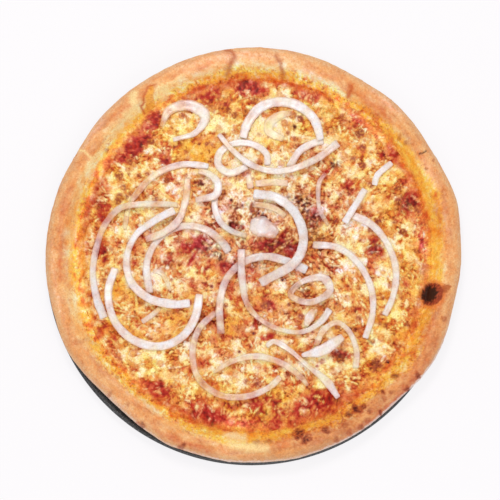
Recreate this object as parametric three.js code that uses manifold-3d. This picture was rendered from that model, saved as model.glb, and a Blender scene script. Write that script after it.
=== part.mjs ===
// A baked onion pizza lying in its round, dark stoneware plate. Millimetres, +Z up.
// The plate stands on its foot ring at z = 0, and the origin is under the middle of the whole.
// Seen from above, X runs to the right and Y away from the viewer.
// From below to above: plate, crust, sauce, cheese, and the onion strips laid over each other.
import * as THREE from "three";
import { mergeVertices } from "three/addons/utils/BufferGeometryUtils.js";
import Module from "manifold-3d";

const wasm = await Module();
wasm.setup();

// Driving dimensions
const TOUCH_GAP = 0.3; // left between two pieces that rest on each other
const PLATE_RADIUS = 152.6;
const PLATE_WELL_RADIUS = 143;
const PLATE_WELL_HEIGHT = 6.5;
const PLATE_LIP_RISE = 4;
const PLATE_FOOT_RADIUS = 102;
const PLATE_SIDES = 60;
const PIZZA_SHIFT = [2.2, 3.9]; // of the pizza's centre from the plate's centre
const PIZZA_RADIUS = 153.5; // mean, to the outermost edge of the crust
const BASE_THICKNESS = 4.5;
const BASE_RADIUS = 131; // where the flat base ends and the rim starts to rise
const RIM_HEIGHT = 17; // of the rim's crest over the pizza's underside
const RIM_CREST_INSET = 10.5; // from the crust's edge in to the crest
const RIM_BULGE_HEIGHT = 8; // where the crust's edge reaches furthest out
const RIM_UNDERCUT = 12; // how far in from the edge the crust leaves the plate
const SAUCE_THICKNESS = 1;
const SAUCE_RADIUS = 133.5;
const CHEESE_THICKNESS = 2.6;
const CHEESE_EDGE_THICKNESS = 1.2;
const CHEESE_RADIUS = 127.5;
const ONION_THICKNESS = 3;
const ONION_STEP = 6; // between two sections of a strip
const ONION_STEEPEST = 0.32; // rise over run of a strip that climbs over another
const ANGLE_LINES = 108; // evenly spread round the crust, before those of its folds

// Swells and dents along the circle: at (degrees, anticlockwise from +X), out (mm), wide (degrees)
const CRUST_EDGE = [
  { at: 15, out: 2.2, wide: 8 },
  { at: 31, out: -0.5, wide: 5 },
  { at: 45, out: 0.75, wide: 8 },
  { at: 60, out: -0.9, wide: 7 },
  { at: 90, out: 1.6, wide: 26 },
  { at: 150, out: -1.3, wide: 8 },
  { at: 187, out: 1.6, wide: 16 },
  { at: 207, out: 2.2, wide: 8 },
  { at: 227, out: -1.8, wide: 9 },
  { at: 246, out: 1.5, wide: 5 },
  { at: 262, out: 1.4, wide: 11 },
  { at: 280, out: 1.0, wide: 8 },
  { at: 312, out: -1.6, wide: 9 },
  { at: 330, out: 1.5, wide: 8 },
  { at: 346, out: -1.0, wide: 6 },
];
const RIM_SWELLS = [
  { at: 12, out: -1.0, wide: 10 },
  { at: 30, out: 1.4, wide: 10 },
  { at: 70, out: -1.2, wide: 9 },
  { at: 108, out: 1.5, wide: 11 },
  { at: 135, out: 0.8, wide: 8 },
  { at: 172, out: 1.6, wide: 15 },
  { at: 207, out: -0.9, wide: 8 },
  { at: 238, out: 1.3, wide: 13 },
  { at: 281, out: -0.8, wide: 10 },
  { at: 308, out: -1.9, wide: 12 },
  { at: 331, out: 1.2, wide: 9 },
];
const SAUCE_EDGE = [
  { at: 20, out: 1.0, wide: 12 },
  { at: 90, out: 1.5, wide: 10 },
  { at: 130, out: 1.0, wide: 8 },
  { at: 186, out: -1.5, wide: 12 },
  { at: 255, out: 1.5, wide: 10 },
  { at: 320, out: -1.5, wide: 14 },
];
const CHEESE_EDGE = [
  { at: 17, out: -9, wide: 6 },
  { at: 36, out: -6, wide: 5 },
  { at: 55, out: 1.5, wide: 6 },
  { at: 71, out: -8, wide: 5 },
  { at: 92, out: -10, wide: 7 },
  { at: 108, out: -7, wide: 5 },
  { at: 137, out: -11, wide: 10 },
  { at: 165, out: -6, wide: 6 },
  { at: 200, out: 2, wide: 9 },
  { at: 232, out: -5, wide: 5 },
  { at: 254, out: -9, wide: 6 },
  { at: 279, out: -6, wide: 5 },
  { at: 296, out: -9, wide: 8 },
  { at: 325, out: 2, wide: 8 },
  { at: 352, out: -5, wide: 5 },
];
// Folds pressed across the rim where the dough was pulled together
const FOLD_HALF_ANGLE = 1.1;
const RIM_FOLDS = [
  { at: 60, deep: 1.0, from: 138, to: 146 },
  { at: 82, deep: 1.7, from: 134, to: 149 },
  { at: 97, deep: 2.2, from: 134, to: 154 },
  { at: 124, deep: 2.4, from: 130, to: 149 },
  { at: 149, deep: 0.9, from: 138, to: 154 },
  { at: 208, deep: 2.0, from: 132, to: 153 },
];
// Bubbles blown up in the dough, the first of them burnt black
const CRUST_BUBBLES = [
  { x: 131.5, y: -30.5, high: 3.4, wide: 8 },
  { x: -52.5, y: -141, high: 1.2, wide: 6 },
  { x: -83, y: -126, high: 1.1, wide: 6 },
  { x: 36, y: -135, high: 1.2, wide: 6 },
  { x: 50, y: -131, high: 1.2, wide: 6 },
  { x: 133, y: 69, high: 1.2, wide: 7 },
];
// Places where the cheese left the sauce bare
const CHEESE_OPENINGS = [
  { x: -40, y: 5, long: 30, across: 16, turn: 12 },
  { x: 16, y: 6, long: 34, across: 12, turn: -8 },
  { x: 72, y: 49, long: 15, across: 10, turn: 30 },
  { x: 90, y: 5, long: 19, across: 12, turn: 80 },
  { x: 102, y: 76, long: 12, across: 9, turn: 120 },
  { x: -111, y: 2, long: 18, across: 7, turn: 95 },
  { x: 64, y: -76, long: 15, across: 11, turn: -30 },
];

// Onion strips, lowest first: path and width in mm from the pizza's centre
const ONIONS = [
  { name: "onion_sunk_crescent", thick: 1.6, width: [4.5, 8, 5],
    path: [[28, 105], [19.5, 103.5], [12, 98], [11, 91.5], [22, 85.5]] },
  { name: "onion_pale_chunk", thick: 2.4, width: [9, 14, 13, 8], step: 4,
    path: [[-1.5, 21], [5, 20], [11, 17.5], [16, 14.5]] },
  { name: "onion_sunk_bar", thick: 1.5, width: [5],
    path: [[1, 52], [13, 53], [25, 52.5]] },
  { name: "onion_sunk_stub", thick: 1.5, width: [4.5],
    path: [[-4, 60], [-3.5, 54], [-2.5, 48.5]] },
  { name: "onion_under_arc", thick: 2, width: [4.5],
    path: [[-1.5, 36.5], [8.5, 35.5], [17, 32.5], [23, 27.5]] },
  { name: "onion_right_thread", thick: 1.8, width: [3.4],
    path: [[53, 60], [48.5, 53], [47.5, 43.5], [49, 32], [55, 21]] },
  { name: "onion_left_hook", thick: 2, width: [3.4],
    path: [[-75, -13], [-69, -14.5], [-65, -20.5], [-62, -28]] },
  { name: "onion_pink_sliver", thick: 2.2, width: [3.8],
    path: [[-69.5, -40.5], [-75.5, -46], [-83, -51]] },
  { name: "onion_upper_left_arc", width: [5, 5, 4.6, 3.4],
    path: [[-34, 65], [-53, 66.5], [-70.5, 60.5], [-83.5, 49.5], [-93, 34.5], [-96, 18]] },
  { name: "onion_bottom_ring", width: [4.8],
    path: [[-28.5, -44], [-41, -56.5], [-45.5, -75], [-40.5, -93.5], [-25, -105],
      [-5.5, -106], [11.5, -99], [19.5, -91.5]] },
  { name: "onion_bottom_arch", width: [2.6, 4.2, 4.8, 4.6, 3.6],
    path: [[-30, -88.5], [-15.5, -80], [2.5, -76.5], [21, -82], [34.5, -92], [39.5, -98]] },
  { name: "onion_centre_left_arc", width: [6, 5, 5.4, 6.2],
    path: [[-77.5, -29.5], [-79.5, -7], [-71, 10.5], [-54.5, 20], [-37, 18], [-23.5, 8],
      [-19, 1]] },
  { name: "onion_far_left_arc", width: [4.5, 4.8, 4.8, 6.4],
    path: [[-57, 36], [-80, 36.5], [-100, 33], [-111, 21], [-117, 4], [-119.5, -14],
      [-116.5, -33.5], [-111, -48]] },
  { name: "onion_centre_hook", width: [5.4, 4.6, 3.8],
    path: [[-29.5, 42], [-29, 33], [-24.5, 22.5], [-15.5, 16], [-5.5, 13]] },
  { name: "onion_small_hook", width: [4.4, 6.2, 4.4], step: 5,
    path: [[-41.5, 61], [-34, 59], [-27, 52], [-28.5, 43.5], [-43.5, 39.5]] },
  { name: "onion_small_ring", width: [5, 5.8, 5, 4.8], step: 5,
    path: [[-5, 65], [-18.5, 60], [-26.5, 66], [-25.5, 75], [-15.5, 82], [-2.5, 82],
      [9, 74.5], [10, 66]] },
  { name: "onion_cross_stick", width: [5.4],
    path: [[51.5, 84.5], [42, 81.5], [33.5, 76], [26, 63.5]] },
  { name: "onion_top_ring", width: [6.6, 7.8, 7.6, 6],
    path: [[-8.5, 86], [-5, 97], [4.5, 109], [18, 113.5], [32, 111], [44.5, 100.5],
      [49.5, 84.5]] },
  { name: "onion_upper_arc", width: [3.8, 4.6, 5, 6],
    path: [[-26.5, 89], [-16, 76.5], [-0.5, 65], [21, 61], [44, 69], [62.5, 82.5]] },
  { name: "onion_pink_arc", thick: 2.6, width: [5.4],
    path: [[-49.5, 56.5], [-51, 39], [-56.5, 24], [-67.5, 15], [-80.5, 10]] },
  { name: "onion_left_arc", width: [6, 4.8, 6.2, 6.6],
    path: [[-59, 31.5], [-74, 24], [-88, 13], [-94.5, -4], [-91, -21.5], [-77.5, -34],
      [-58.5, -38], [-47.5, -37]] },
  { name: "onion_lower_left_arc", width: [5.6, 6.2, 6.2],
    path: [[-103, -11], [-108, -29], [-103, -50.5], [-89, -64.5], [-69, -69],
      [-52.5, -61.5], [-43.5, -47.5], [-40.5, -30.5]] },
  { name: "onion_centre_arc", width: [5.8, 5.4, 6.6],
    path: [[-24.5, -60], [-25.5, -38], [-20, -18.5], [-6.5, -6], [10.5, -2.5],
      [30, -8.5], [39, -12.5]] },
  { name: "onion_lower_right_loop", width: [5, 3.8, 4.8],
    path: [[45.5, -69], [51, -57.5], [61, -51.5], [70, -58], [75.5, -72], [75, -85]] },
  { name: "onion_long_curl", width: [6, 5, 3.6, 3.6, 5.6],
    path: [[-9.5, 2.5], [-9, -19], [-4, -40], [12, -54], [34.5, -58.5], [49, -51],
      [56, -41.5]] },
  { name: "onion_right_centre_arc", width: [7],
    path: [[-0.5, 44], [16, 41.5], [30.5, 29.5], [36.5, 10.5], [30.5, -6.5], [4.5, -22]] },
  { name: "onion_right_outer_arc", width: [6, 5.2, 4.8],
    path: [[73, 28.5], [88, 20.5], [99.5, 5.5], [105, -13], [102.5, -32.5], [96.5, -46]] },
  { name: "onion_right_stick", width: [5.2],
    path: [[82.5, 48], [75, 35.5], [67, 22.5]] },
  { name: "onion_far_right_stick", width: [4.8],
    path: [[102.5, 68], [91.5, 58], [89.5, 51]] },
  { name: "onion_right_inner_arc", width: [5.4, 5, 4.8],
    path: [[43.5, 6.5], [62.5, 4], [77.5, -8], [86.5, -26], [87.5, -45], [82, -63]] },
  { name: "onion_pink_loop", thick: 2.6, width: [4.4, 6.4, 5, 4.6], closed: true, step: 5,
    path: [[35, -21.5], [51.5, -18.5], [56, -28], [41, -36.5], [27, -31]] },
  { name: "onion_leaf", width: [4, 7, 4],
    path: [[44, -42], [41, -47.5], [38, -54]] },
  { name: "onion_lens", width: [3, 8, 8.4, 5],
    path: [[35, -76], [50.5, -72], [65.5, -62]] },
  { name: "onion_wavy_strip", width: [3.8, 4.6, 3.2, 3.4, 6.6, 3.8],
    path: [[9, -69], [14.5, -65.5], [25.5, -71.5], [39, -83.5], [53, -94.5], [62, -107]] },
  { name: "onion_teardrop", width: [3.8, 8, 8.8, 4.6, 3.2], step: 5,
    path: [[-69, 95], [-63.5, 107], [-48.5, 111], [-36.5, 103], [-43.5, 90.5],
      [-60.5, 85]] },
];

// Small maths
const toRadians = (angle) => (angle * Math.PI) / 180;

function angleApart(a, b) {
  return Math.abs(((((a - b + 180) % 360) + 360) % 360) - 180);
}

function lobesAt(lobes, angle) {
  return lobes.reduce(
    (sum, lobe) => sum + lobe.out * Math.exp(-((angleApart(angle, lobe.at) / lobe.wide) ** 2)),
    0,
  );
}

function smoothStep(t) {
  const s = Math.min(1, Math.max(0, t));
  return s * s * (3 - 2 * s);
}

// A repeatable source of numbers from 0 to 1
function seededDraws(seed) {
  let state = seed;
  return () => {
    state = (state * 1664525 + 1013904223) % 4294967296;
    return state / 4294967296;
  };
}

// A smooth, lumpy height between about -1 and 1 over the plane, with lumps of the given breadth
function lumpyField(seed, breadth, waves = 7) {
  const draw = seededDraws(seed);
  const parts = Array.from({ length: waves }, () => {
    const heading = draw() * 2 * Math.PI;
    const wavenumber = (Math.PI / breadth) * (0.75 + 0.5 * draw());
    return {
      kx: wavenumber * Math.cos(heading),
      ky: wavenumber * Math.sin(heading),
      phase: draw() * 2 * Math.PI,
    };
  });
  const scale = Math.sqrt(2 / waves) * 0.8;
  return (x, y) =>
    scale * parts.reduce((sum, w) => sum + Math.sin(w.kx * x + w.ky * y + w.phase), 0);
}

// The value at share t of the way through a list, in straight steps
function alongList(list, t) {
  const place = Math.min(1, Math.max(0, t)) * (list.length - 1);
  const i = Math.min(list.length - 1, Math.floor(place));
  const j = Math.min(list.length - 1, i + 1);
  return list[i] + (list[j] - list[i]) * (place - i);
}

function geometryOf(points, triangles) {
  return new THREE.BufferGeometry()
    .setAttribute("position", new THREE.Float32BufferAttribute(points.flat(), 3))
    .setIndex(triangles.flat());
}

// A closed body from rings of points: a fan over the first ring, bands, and a fan over the last
function ringBody(topCentre, rings, bottomCentre) {
  const count = rings[0].length;
  const points = [topCentre, ...rings.flat(), bottomCentre];
  const last = points.length - 1;
  const at = (ring, line) => 1 + ring * count + (line % count);
  const triangles = [];
  for (let line = 0; line < count; line++) {
    triangles.push([0, at(0, line), at(0, line + 1)]);
    for (let ring = 0; ring + 1 < rings.length; ring++) {
      const a = at(ring, line);
      const b = at(ring + 1, line);
      const c = at(ring + 1, line + 1);
      const d = at(ring, line + 1);
      triangles.push([a, b, c], [a, c, d]);
    }
    triangles.push([at(rings.length - 1, line), last, at(rings.length - 1, line + 1)]);
  }
  return geometryOf(points, triangles);
}

// Solids for cutting and joining
function toSolid(geometry) {
  const bare = geometry.clone();
  bare.deleteAttribute("normal");
  bare.deleteAttribute("uv");
  const merged = mergeVertices(bare, 1e-4);
  return new wasm.Manifold(
    new wasm.Mesh({
      numProp: 3,
      vertProperties: merged.attributes.position.array,
      triVerts: new Uint32Array(merged.index.array),
    }),
  );
}

function toGeometry(solid) {
  const mesh = solid.getMesh();
  return new THREE.BufferGeometry()
    .setAttribute("position", new THREE.BufferAttribute(mesh.vertProperties, 3))
    .setIndex(new THREE.BufferAttribute(mesh.triVerts, 1));
}

// The plate: a flat well, a low rounded lip and a foot ring, turned about its own centre
const LIP_TOP = PLATE_WELL_HEIGHT + PLATE_LIP_RISE;
const PLATE_UNDERSIDE = [
  [0, 2],
  [PLATE_FOOT_RADIUS - 5, 2],
  [PLATE_FOOT_RADIUS - 3, 0],
  [PLATE_FOOT_RADIUS + 3, 0],
  [PLATE_FOOT_RADIUS + 6, 2.6],
  [PLATE_RADIUS - 6, 4.8],
  [PLATE_RADIUS - 0.6, 8],
];
const PLATE_TOP = [
  [PLATE_RADIUS, LIP_TOP - 1.4],
  [PLATE_RADIUS - 0.7, LIP_TOP - 0.3],
  [PLATE_RADIUS - 1.9, LIP_TOP],
  [PLATE_RADIUS - 3.4, LIP_TOP - 0.7],
  [PLATE_RADIUS - 7, PLATE_WELL_HEIGHT + 0.7],
  [PLATE_WELL_RADIUS, PLATE_WELL_HEIGHT],
  [0, PLATE_WELL_HEIGHT],
];

function plateGeometry() {
  const profile = [...PLATE_UNDERSIDE, ...PLATE_TOP].map(([r, z]) => new THREE.Vector2(r, z));
  const geometry = new THREE.LatheGeometry(profile, PLATE_SIDES);
  geometry.rotateX(Math.PI / 2); // the lathe turns about Y
  return geometry;
}

// Height of the plate's top at a radius, and below everything past its edge
function plateTopAt(radius) {
  if (radius > PLATE_RADIUS) return -Infinity;
  for (let i = 0; i + 1 < PLATE_TOP.length; i++) {
    const [outerR, outerZ] = PLATE_TOP[i];
    const [innerR, innerZ] = PLATE_TOP[i + 1];
    if (radius >= innerR) {
      return innerZ + ((outerZ - innerZ) * (radius - innerR)) / (outerR - innerR);
    }
  }
  return PLATE_WELL_HEIGHT;
}

// How high dough over (x, y) from the pizza's centre must stay to lie on the well or the lip
function clearOfPlate(x, y) {
  const reach = 4; // the dough bends over the lip no tighter than this
  const radius = Math.hypot(x + PIZZA_SHIFT[0], y + PIZZA_SHIFT[1]);
  const heights = [-1, -0.5, 0, 0.5, 1].map((s) => plateTopAt(radius + s * reach));
  return Math.max(...heights) + TOUCH_GAP;
}

// The crust
const DOUGH_BOTTOM = PLATE_WELL_HEIGHT + TOUCH_GAP;
const BASE_TOP = DOUGH_BOTTOM + BASE_THICKNESS;

// Directions of the crust's lines: evenly round, with three close ones at each fold
function crustAngles() {
  const even = Array.from({ length: ANGLE_LINES }, (_, i) => (360 * i) / ANGLE_LINES);
  const clear = even.filter((angle) =>
    RIM_FOLDS.every((fold) => angleApart(angle, fold.at) > 2 * FOLD_HALF_ANGLE),
  );
  const folded = RIM_FOLDS.flatMap((fold) => [
    fold.at - FOLD_HALF_ANGLE,
    fold.at,
    fold.at + FOLD_HALF_ANGLE,
  ]);
  return [...clear, ...folded].sort((a, b) => a - b);
}
const ANGLES = crustAngles();

const rimLumps = lumpyField(11, 9);
const rimWaves = lumpyField(23, 26);

// Height added to the rim's skin at (x, y): lumps, bubbles and folds
function rimRelief(x, y) {
  const radius = Math.hypot(x, y);
  const angle = THREE.MathUtils.radToDeg(Math.atan2(y, x));
  let height = 0.35 * rimLumps(x, y) + 0.7 * rimWaves(x, y);
  for (const bubble of CRUST_BUBBLES) {
    const away = Math.hypot(x - bubble.x, y - bubble.y) / bubble.wide;
    height += bubble.high * Math.exp(-(away ** 2));
  }
  for (const fold of RIM_FOLDS) {
    const inside = smoothStep((radius - fold.from + 3) / 3) * smoothStep((fold.to + 3 - radius) / 3);
    const across = angleApart(angle, fold.at) / FOLD_HALF_ANGLE;
    height -= fold.deep * inside * Math.exp(-(across ** 2) * 1.2);
  }
  return height;
}

// The crust's section along one direction, from the base's edge over the rim to the underside
function crustSection(angle) {
  const heading = [Math.cos(toRadians(angle)), Math.sin(toRadians(angle))];
  const edge = PIZZA_RADIUS + lobesAt(CRUST_EDGE, angle);
  const crestHeight = DOUGH_BOTTOM + RIM_HEIGHT + lobesAt(RIM_SWELLS, angle);
  const crestRadius = edge - RIM_CREST_INSET;
  const bulge = DOUGH_BOTTOM + RIM_BULGE_HEIGHT;
  const section = [{ r: BASE_RADIUS, z: BASE_TOP, relief: 0 }];
  for (const share of [0.28, 0.52, 0.78]) {
    section.push({
      r: BASE_RADIUS + (crestRadius - BASE_RADIUS) * share,
      z: BASE_TOP + (crestHeight - BASE_TOP) * smoothStep(0.12 + 0.88 * share),
      relief: smoothStep(2 * (share - 0.28)),
    });
  }
  for (const turn of [84, 62, 42, 22, 0]) {
    section.push({
      r: crestRadius + (edge - crestRadius) * Math.cos(toRadians(turn)),
      z: bulge + (crestHeight - bulge) * Math.sin(toRadians(turn)),
      relief: smoothStep(turn / 45),
    });
  }
  for (const turn of [34, 64, 90]) {
    section.push({
      r: edge - RIM_UNDERCUT * (1 - Math.cos(toRadians(turn))),
      z: bulge - RIM_BULGE_HEIGHT * Math.sin(toRadians(turn)),
      under: true,
    });
  }
  section.push({ r: BASE_RADIUS - 3, z: DOUGH_BOTTOM, under: true });
  return section.map((spot) => {
    const x = spot.r * heading[0];
    const y = spot.r * heading[1];
    if (spot.under) return [x, y, Math.max(spot.z, clearOfPlate(x, y))];
    return [x, y, spot.z + spot.relief * rimRelief(x, y)];
  });
}

const CRUST_SECTIONS = ANGLES.map(crustSection);
const CRUST_RINGS = CRUST_SECTIONS[0].map((_, ring) => CRUST_SECTIONS.map((s) => s[ring]));

function crustGeometry() {
  return ringBody([0, 0, BASE_TOP], CRUST_RINGS, [0, 0, DOUGH_BOTTOM]);
}

// Height of the crust's top along one of its lines, between its own rings
function crustTopOnLine(line, radius) {
  const section = CRUST_SECTIONS[line];
  for (let ring = 0; ring < 4; ring++) {
    const inner = Math.hypot(section[ring][0], section[ring][1]);
    const outer = Math.hypot(section[ring + 1][0], section[ring + 1][1]);
    if (radius <= outer) {
      const share = Math.max(0, (radius - inner) / (outer - inner));
      return section[ring][2] + (section[ring + 1][2] - section[ring][2]) * share;
    }
  }
  return section[4][2];
}

// The sauce: a thin layer over the base, whose edge creeps up the rim
const SAUCE_BOTTOM = BASE_TOP + TOUCH_GAP;
const SAUCE_TOP = SAUCE_BOTTOM + SAUCE_THICKNESS;

function sauceGeometry() {
  const edgeLumps = lumpyField(37, 7);
  const rings = [[], [], [], []];
  ANGLES.forEach((angle, line) => {
    const heading = [Math.cos(toRadians(angle)), Math.sin(toRadians(angle))];
    const spot = (radius, z) => [radius * heading[0], radius * heading[1], z];
    const lump = edgeLumps(BASE_RADIUS * heading[0], BASE_RADIUS * heading[1]);
    const wanted = SAUCE_RADIUS + lobesAt(SAUCE_EDGE, angle) + 0.8 * lump;
    const edge = Math.max(BASE_RADIUS + 0.8, wanted);
    const edgeBottom = crustTopOnLine(line, edge) + TOUCH_GAP;
    const edgeTop = Math.max(edgeBottom + 0.5, SAUCE_TOP - 0.3);
    rings[0].push(spot(BASE_RADIUS - 1, SAUCE_TOP));
    rings[1].push(spot(edge - 0.4, edgeTop));
    rings[2].push(spot(edge, edgeBottom));
    rings[3].push(spot(BASE_RADIUS, SAUCE_BOTTOM));
  });
  return ringBody([0, 0, SAUCE_TOP], rings, [0, 0, SAUCE_BOTTOM]);
}

// The cheese: a lumpy melted layer with an uneven edge, on a lattice of six-sided rings
const CHEESE_BOTTOM = SAUCE_TOP + TOUCH_GAP;
const LATTICE_RINGS = 17;
const broadLumps = lumpyField(5, 15);
const fineLumps = lumpyField(17, 8);

function cheeseTopAt(x, y, share) {
  const body = CHEESE_THICKNESS + 0.75 * broadLumps(x, y) + 0.5 * fineLumps(x, y);
  const fade = smoothStep((1 - share) * 9);
  const thickness = CHEESE_EDGE_THICKNESS + (body - CHEESE_EDGE_THICKNESS) * fade;
  return CHEESE_BOTTOM + Math.max(1, thickness);
}

function cheeseSlab() {
  const edgeLumps = lumpyField(41, 8);
  const points = [];
  const firstOf = (ring) => (ring === 0 ? 0 : 1 + 3 * ring * (ring - 1));
  for (let ring = 0; ring <= LATTICE_RINGS; ring++) {
    const count = Math.max(1, 6 * ring);
    for (let i = 0; i < count; i++) {
      const angle = (360 * i) / count;
      const heading = [Math.cos(toRadians(angle)), Math.sin(toRadians(angle))];
      const lump = edgeLumps(CHEESE_RADIUS * heading[0], CHEESE_RADIUS * heading[1]);
      const edge = Math.min(
        BASE_RADIUS - 1.5,
        CHEESE_RADIUS + lobesAt(CHEESE_EDGE, angle) + 1.4 * lump,
      );
      const share = ring / LATTICE_RINGS;
      const radius = edge * share;
      const x = radius * heading[0];
      const y = radius * heading[1];
      points.push([x, y, cheeseTopAt(x, y, share)]);
    }
  }
  const triangles = [];
  for (let ring = 1; ring <= LATTICE_RINGS; ring++) {
    const outer = (i) => firstOf(ring) + (i % (6 * ring));
    const inner = (i) => firstOf(ring - 1) + (ring === 1 ? 0 : i % (6 * (ring - 1)));
    for (let sector = 0; sector < 6; sector++) {
      for (let i = 0; i < ring; i++) {
        const out = sector * ring + i;
        const back = sector * (ring - 1) + i;
        triangles.push([inner(back), outer(out), outer(out + 1)]);
        if (i < ring - 1) triangles.push([inner(back), outer(out + 1), inner(back + 1)]);
      }
    }
  }
  const rimStart = firstOf(LATTICE_RINGS);
  const rimCount = 6 * LATTICE_RINGS;
  const lowerStart = points.length;
  for (let i = 0; i < rimCount; i++) {
    const [x, y] = points[rimStart + i];
    points.push([x, y, CHEESE_BOTTOM]);
  }
  const lowerCentre = points.length;
  points.push([0, 0, CHEESE_BOTTOM]);
  for (let i = 0; i < rimCount; i++) {
    const next = (i + 1) % rimCount;
    const [a, d] = [rimStart + i, rimStart + next];
    const [b, c] = [lowerStart + i, lowerStart + next];
    triangles.push([a, b, c], [a, c, d], [b, lowerCentre, c]);
  }
  return geometryOf(points, triangles);
}

function openingGeometry(opening, index) {
  const draw = seededDraws(100 + index);
  const corners = 9;
  const outline = Array.from({ length: corners }, (_, i) => {
    const angle = (2 * Math.PI * i) / corners;
    const uneven = 0.82 + 0.36 * draw();
    return new THREE.Vector2(
      0.5 * opening.long * uneven * Math.cos(angle),
      0.5 * opening.across * uneven * Math.sin(angle),
    );
  });
  const geometry = new THREE.ExtrudeGeometry(new THREE.Shape(outline), {
    depth: 4 * CHEESE_THICKNESS,
    bevelEnabled: false,
  });
  geometry.rotateZ(toRadians(opening.turn));
  geometry.translate(opening.x, opening.y, CHEESE_BOTTOM - CHEESE_THICKNESS);
  return geometry;
}

function cheeseGeometry() {
  const openings = CHEESE_OPENINGS.map((opening, i) => toSolid(openingGeometry(opening, i)));
  return toGeometry(openings.reduce((slab, hole) => slab.subtract(hole), toSolid(cheeseSlab())));
}

// The highest surface met so far over each small square, which the onion strips are laid on
class TopSurface {
  constructor(halfSpan) {
    this.halfSpan = halfSpan;
    this.cells = 2 * halfSpan;
    this.heights = new Float32Array(this.cells * this.cells).fill(-Infinity);
  }
  cellOf(x, y) {
    const column = Math.floor(x + this.halfSpan);
    const row = Math.floor(y + this.halfSpan);
    return row * this.cells + column;
  }
  raise(x, y, z) {
    const cell = this.cellOf(x, y);
    this.heights[cell] = Math.max(this.heights[cell], z);
  }
  heightAt(x, y) {
    return this.heights[this.cellOf(x, y)];
  }
  // Marks the upward faces of a body
  addBody(geometry) {
    const flat = geometry.index ? geometry.toNonIndexed() : geometry;
    const place = flat.attributes.position;
    const corner = [new THREE.Vector3(), new THREE.Vector3(), new THREE.Vector3()];
    for (let i = 0; i < place.count; i += 3) {
      corner.forEach((p, k) => p.fromBufferAttribute(place, i + k));
      const [a, b, c] = corner;
      const upward = (b.x - a.x) * (c.y - a.y) - (b.y - a.y) * (c.x - a.x);
      if (upward <= 0) continue;
      const steps = Math.ceil(2 * Math.max(a.distanceTo(b), b.distanceTo(c), c.distanceTo(a)));
      for (let u = 0; u <= steps; u++) {
        for (let v = 0; v <= steps - u; v++) {
          const [s, t] = [u / steps, v / steps];
          const w = 1 - s - t;
          this.raise(
            a.x * w + b.x * s + c.x * t,
            a.y * w + b.y * s + c.y * t,
            a.z * w + b.z * s + c.z * t,
          );
        }
      }
    }
  }
}

// Calls visit(x, y, share) over the ground that a strip covers between two of its stations
function overFootprint(from, to, visit) {
  const margin = 0.45;
  const along = Math.ceil(2.5 * Math.hypot(to.x - from.x, to.y - from.y));
  const across = Math.ceil(2.5 * (from.half + to.half + 2 * margin));
  for (let i = 0; i <= along; i++) {
    const share = i / along;
    const half = from.half + (to.half - from.half) * share + margin;
    const x = from.x + (to.x - from.x) * share;
    const y = from.y + (to.y - from.y) * share;
    const sideX = from.sideX + (to.sideX - from.sideX) * share;
    const sideY = from.sideY + (to.sideY - from.sideY) * share;
    for (let k = 0; k <= across; k++) {
      const offset = half * ((2 * k) / across - 1);
      visit(x + sideX * offset, y + sideY * offset, share);
    }
  }
}

// The stations of a strip: place, sideways direction, half width and thickness
function stripStations(onion) {
  const closed = onion.closed === true;
  const knots = onion.path.map(([x, y]) => new THREE.Vector3(x, y, 0));
  const curve = new THREE.CatmullRomCurve3(knots, closed, "centripetal");
  const step = onion.step ?? ONION_STEP;
  const count = Math.max(3, Math.round(curve.getLength() / step));
  const shares = Array.from({ length: closed ? count : count + 1 }, (_, i) => i / count);
  if (!closed) {
    const tip = 1.6 / curve.getLength(); // a short, narrower tip at each end
    shares.splice(1, 0, tip);
    shares.splice(shares.length - 1, 0, 1 - tip);
  }
  const thick = onion.thick ?? ONION_THICKNESS;
  return shares.map((share, i) => {
    const point = curve.getPointAt(share);
    const heading = curve.getTangentAt(share);
    const isTip = !closed && (i === 0 || i === shares.length - 1);
    const shrink = isTip ? 0.72 : 1;
    const width = closed
      ? alongList([...onion.width, onion.width[0]], share)
      : alongList(onion.width, share);
    return {
      x: point.x,
      y: point.y,
      sideX: heading.y,
      sideY: -heading.x,
      half: 0.5 * width * shrink,
      thick: thick * shrink,
      along: share * curve.getLength(),
    };
  });
}

// Lays a strip on the surface below it: a height for the underside of each station
function layStrip(stations, closed, surface) {
  const count = stations.length;
  const pairs = closed ? count : count - 1;
  const underHeights = Array.from({ length: pairs }, (_, i) => {
    let highest = -Infinity;
    overFootprint(stations[i], stations[(i + 1) % count], (x, y) => {
      highest = Math.max(highest, surface.heightAt(x, y));
    });
    return highest;
  });
  stations.forEach((station, i) => {
    const before = closed ? underHeights[(i + pairs - 1) % pairs] : underHeights[i - 1];
    const after = underHeights[i];
    station.z = Math.max(before ?? -Infinity, after ?? -Infinity) + TOUCH_GAP;
  });
  const laid = stations.map((station) => station.z);
  const length = Math.max(...stations.map((station) => station.along));
  const span = closed ? length * (count / (count - 1)) : Infinity;
  stations.forEach((station, i) => {
    stations.forEach((other, k) => {
      const straight = Math.abs(station.along - other.along);
      const apart = Math.min(straight, span - straight);
      station.z = Math.max(station.z, laid[k] - ONION_STEEPEST * apart);
    });
  });
  for (let i = 0; i < pairs; i++) {
    const [from, to] = [stations[i], stations[(i + 1) % count]];
    overFootprint(from, to, (x, y, share) => {
      const top = (from.z + from.thick) * (1 - share) + (to.z + to.thick) * share;
      surface.raise(x, y, top);
    });
  }
}

// Half of a strip's section: (across, up) as shares of the half width and the thickness
const STRIP_SECTION = [
  [0.74, 0],
  [1, 0.42],
  [0.6, 1],
  [-0.6, 1],
  [-1, 0.42],
  [-0.74, 0],
];

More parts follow.
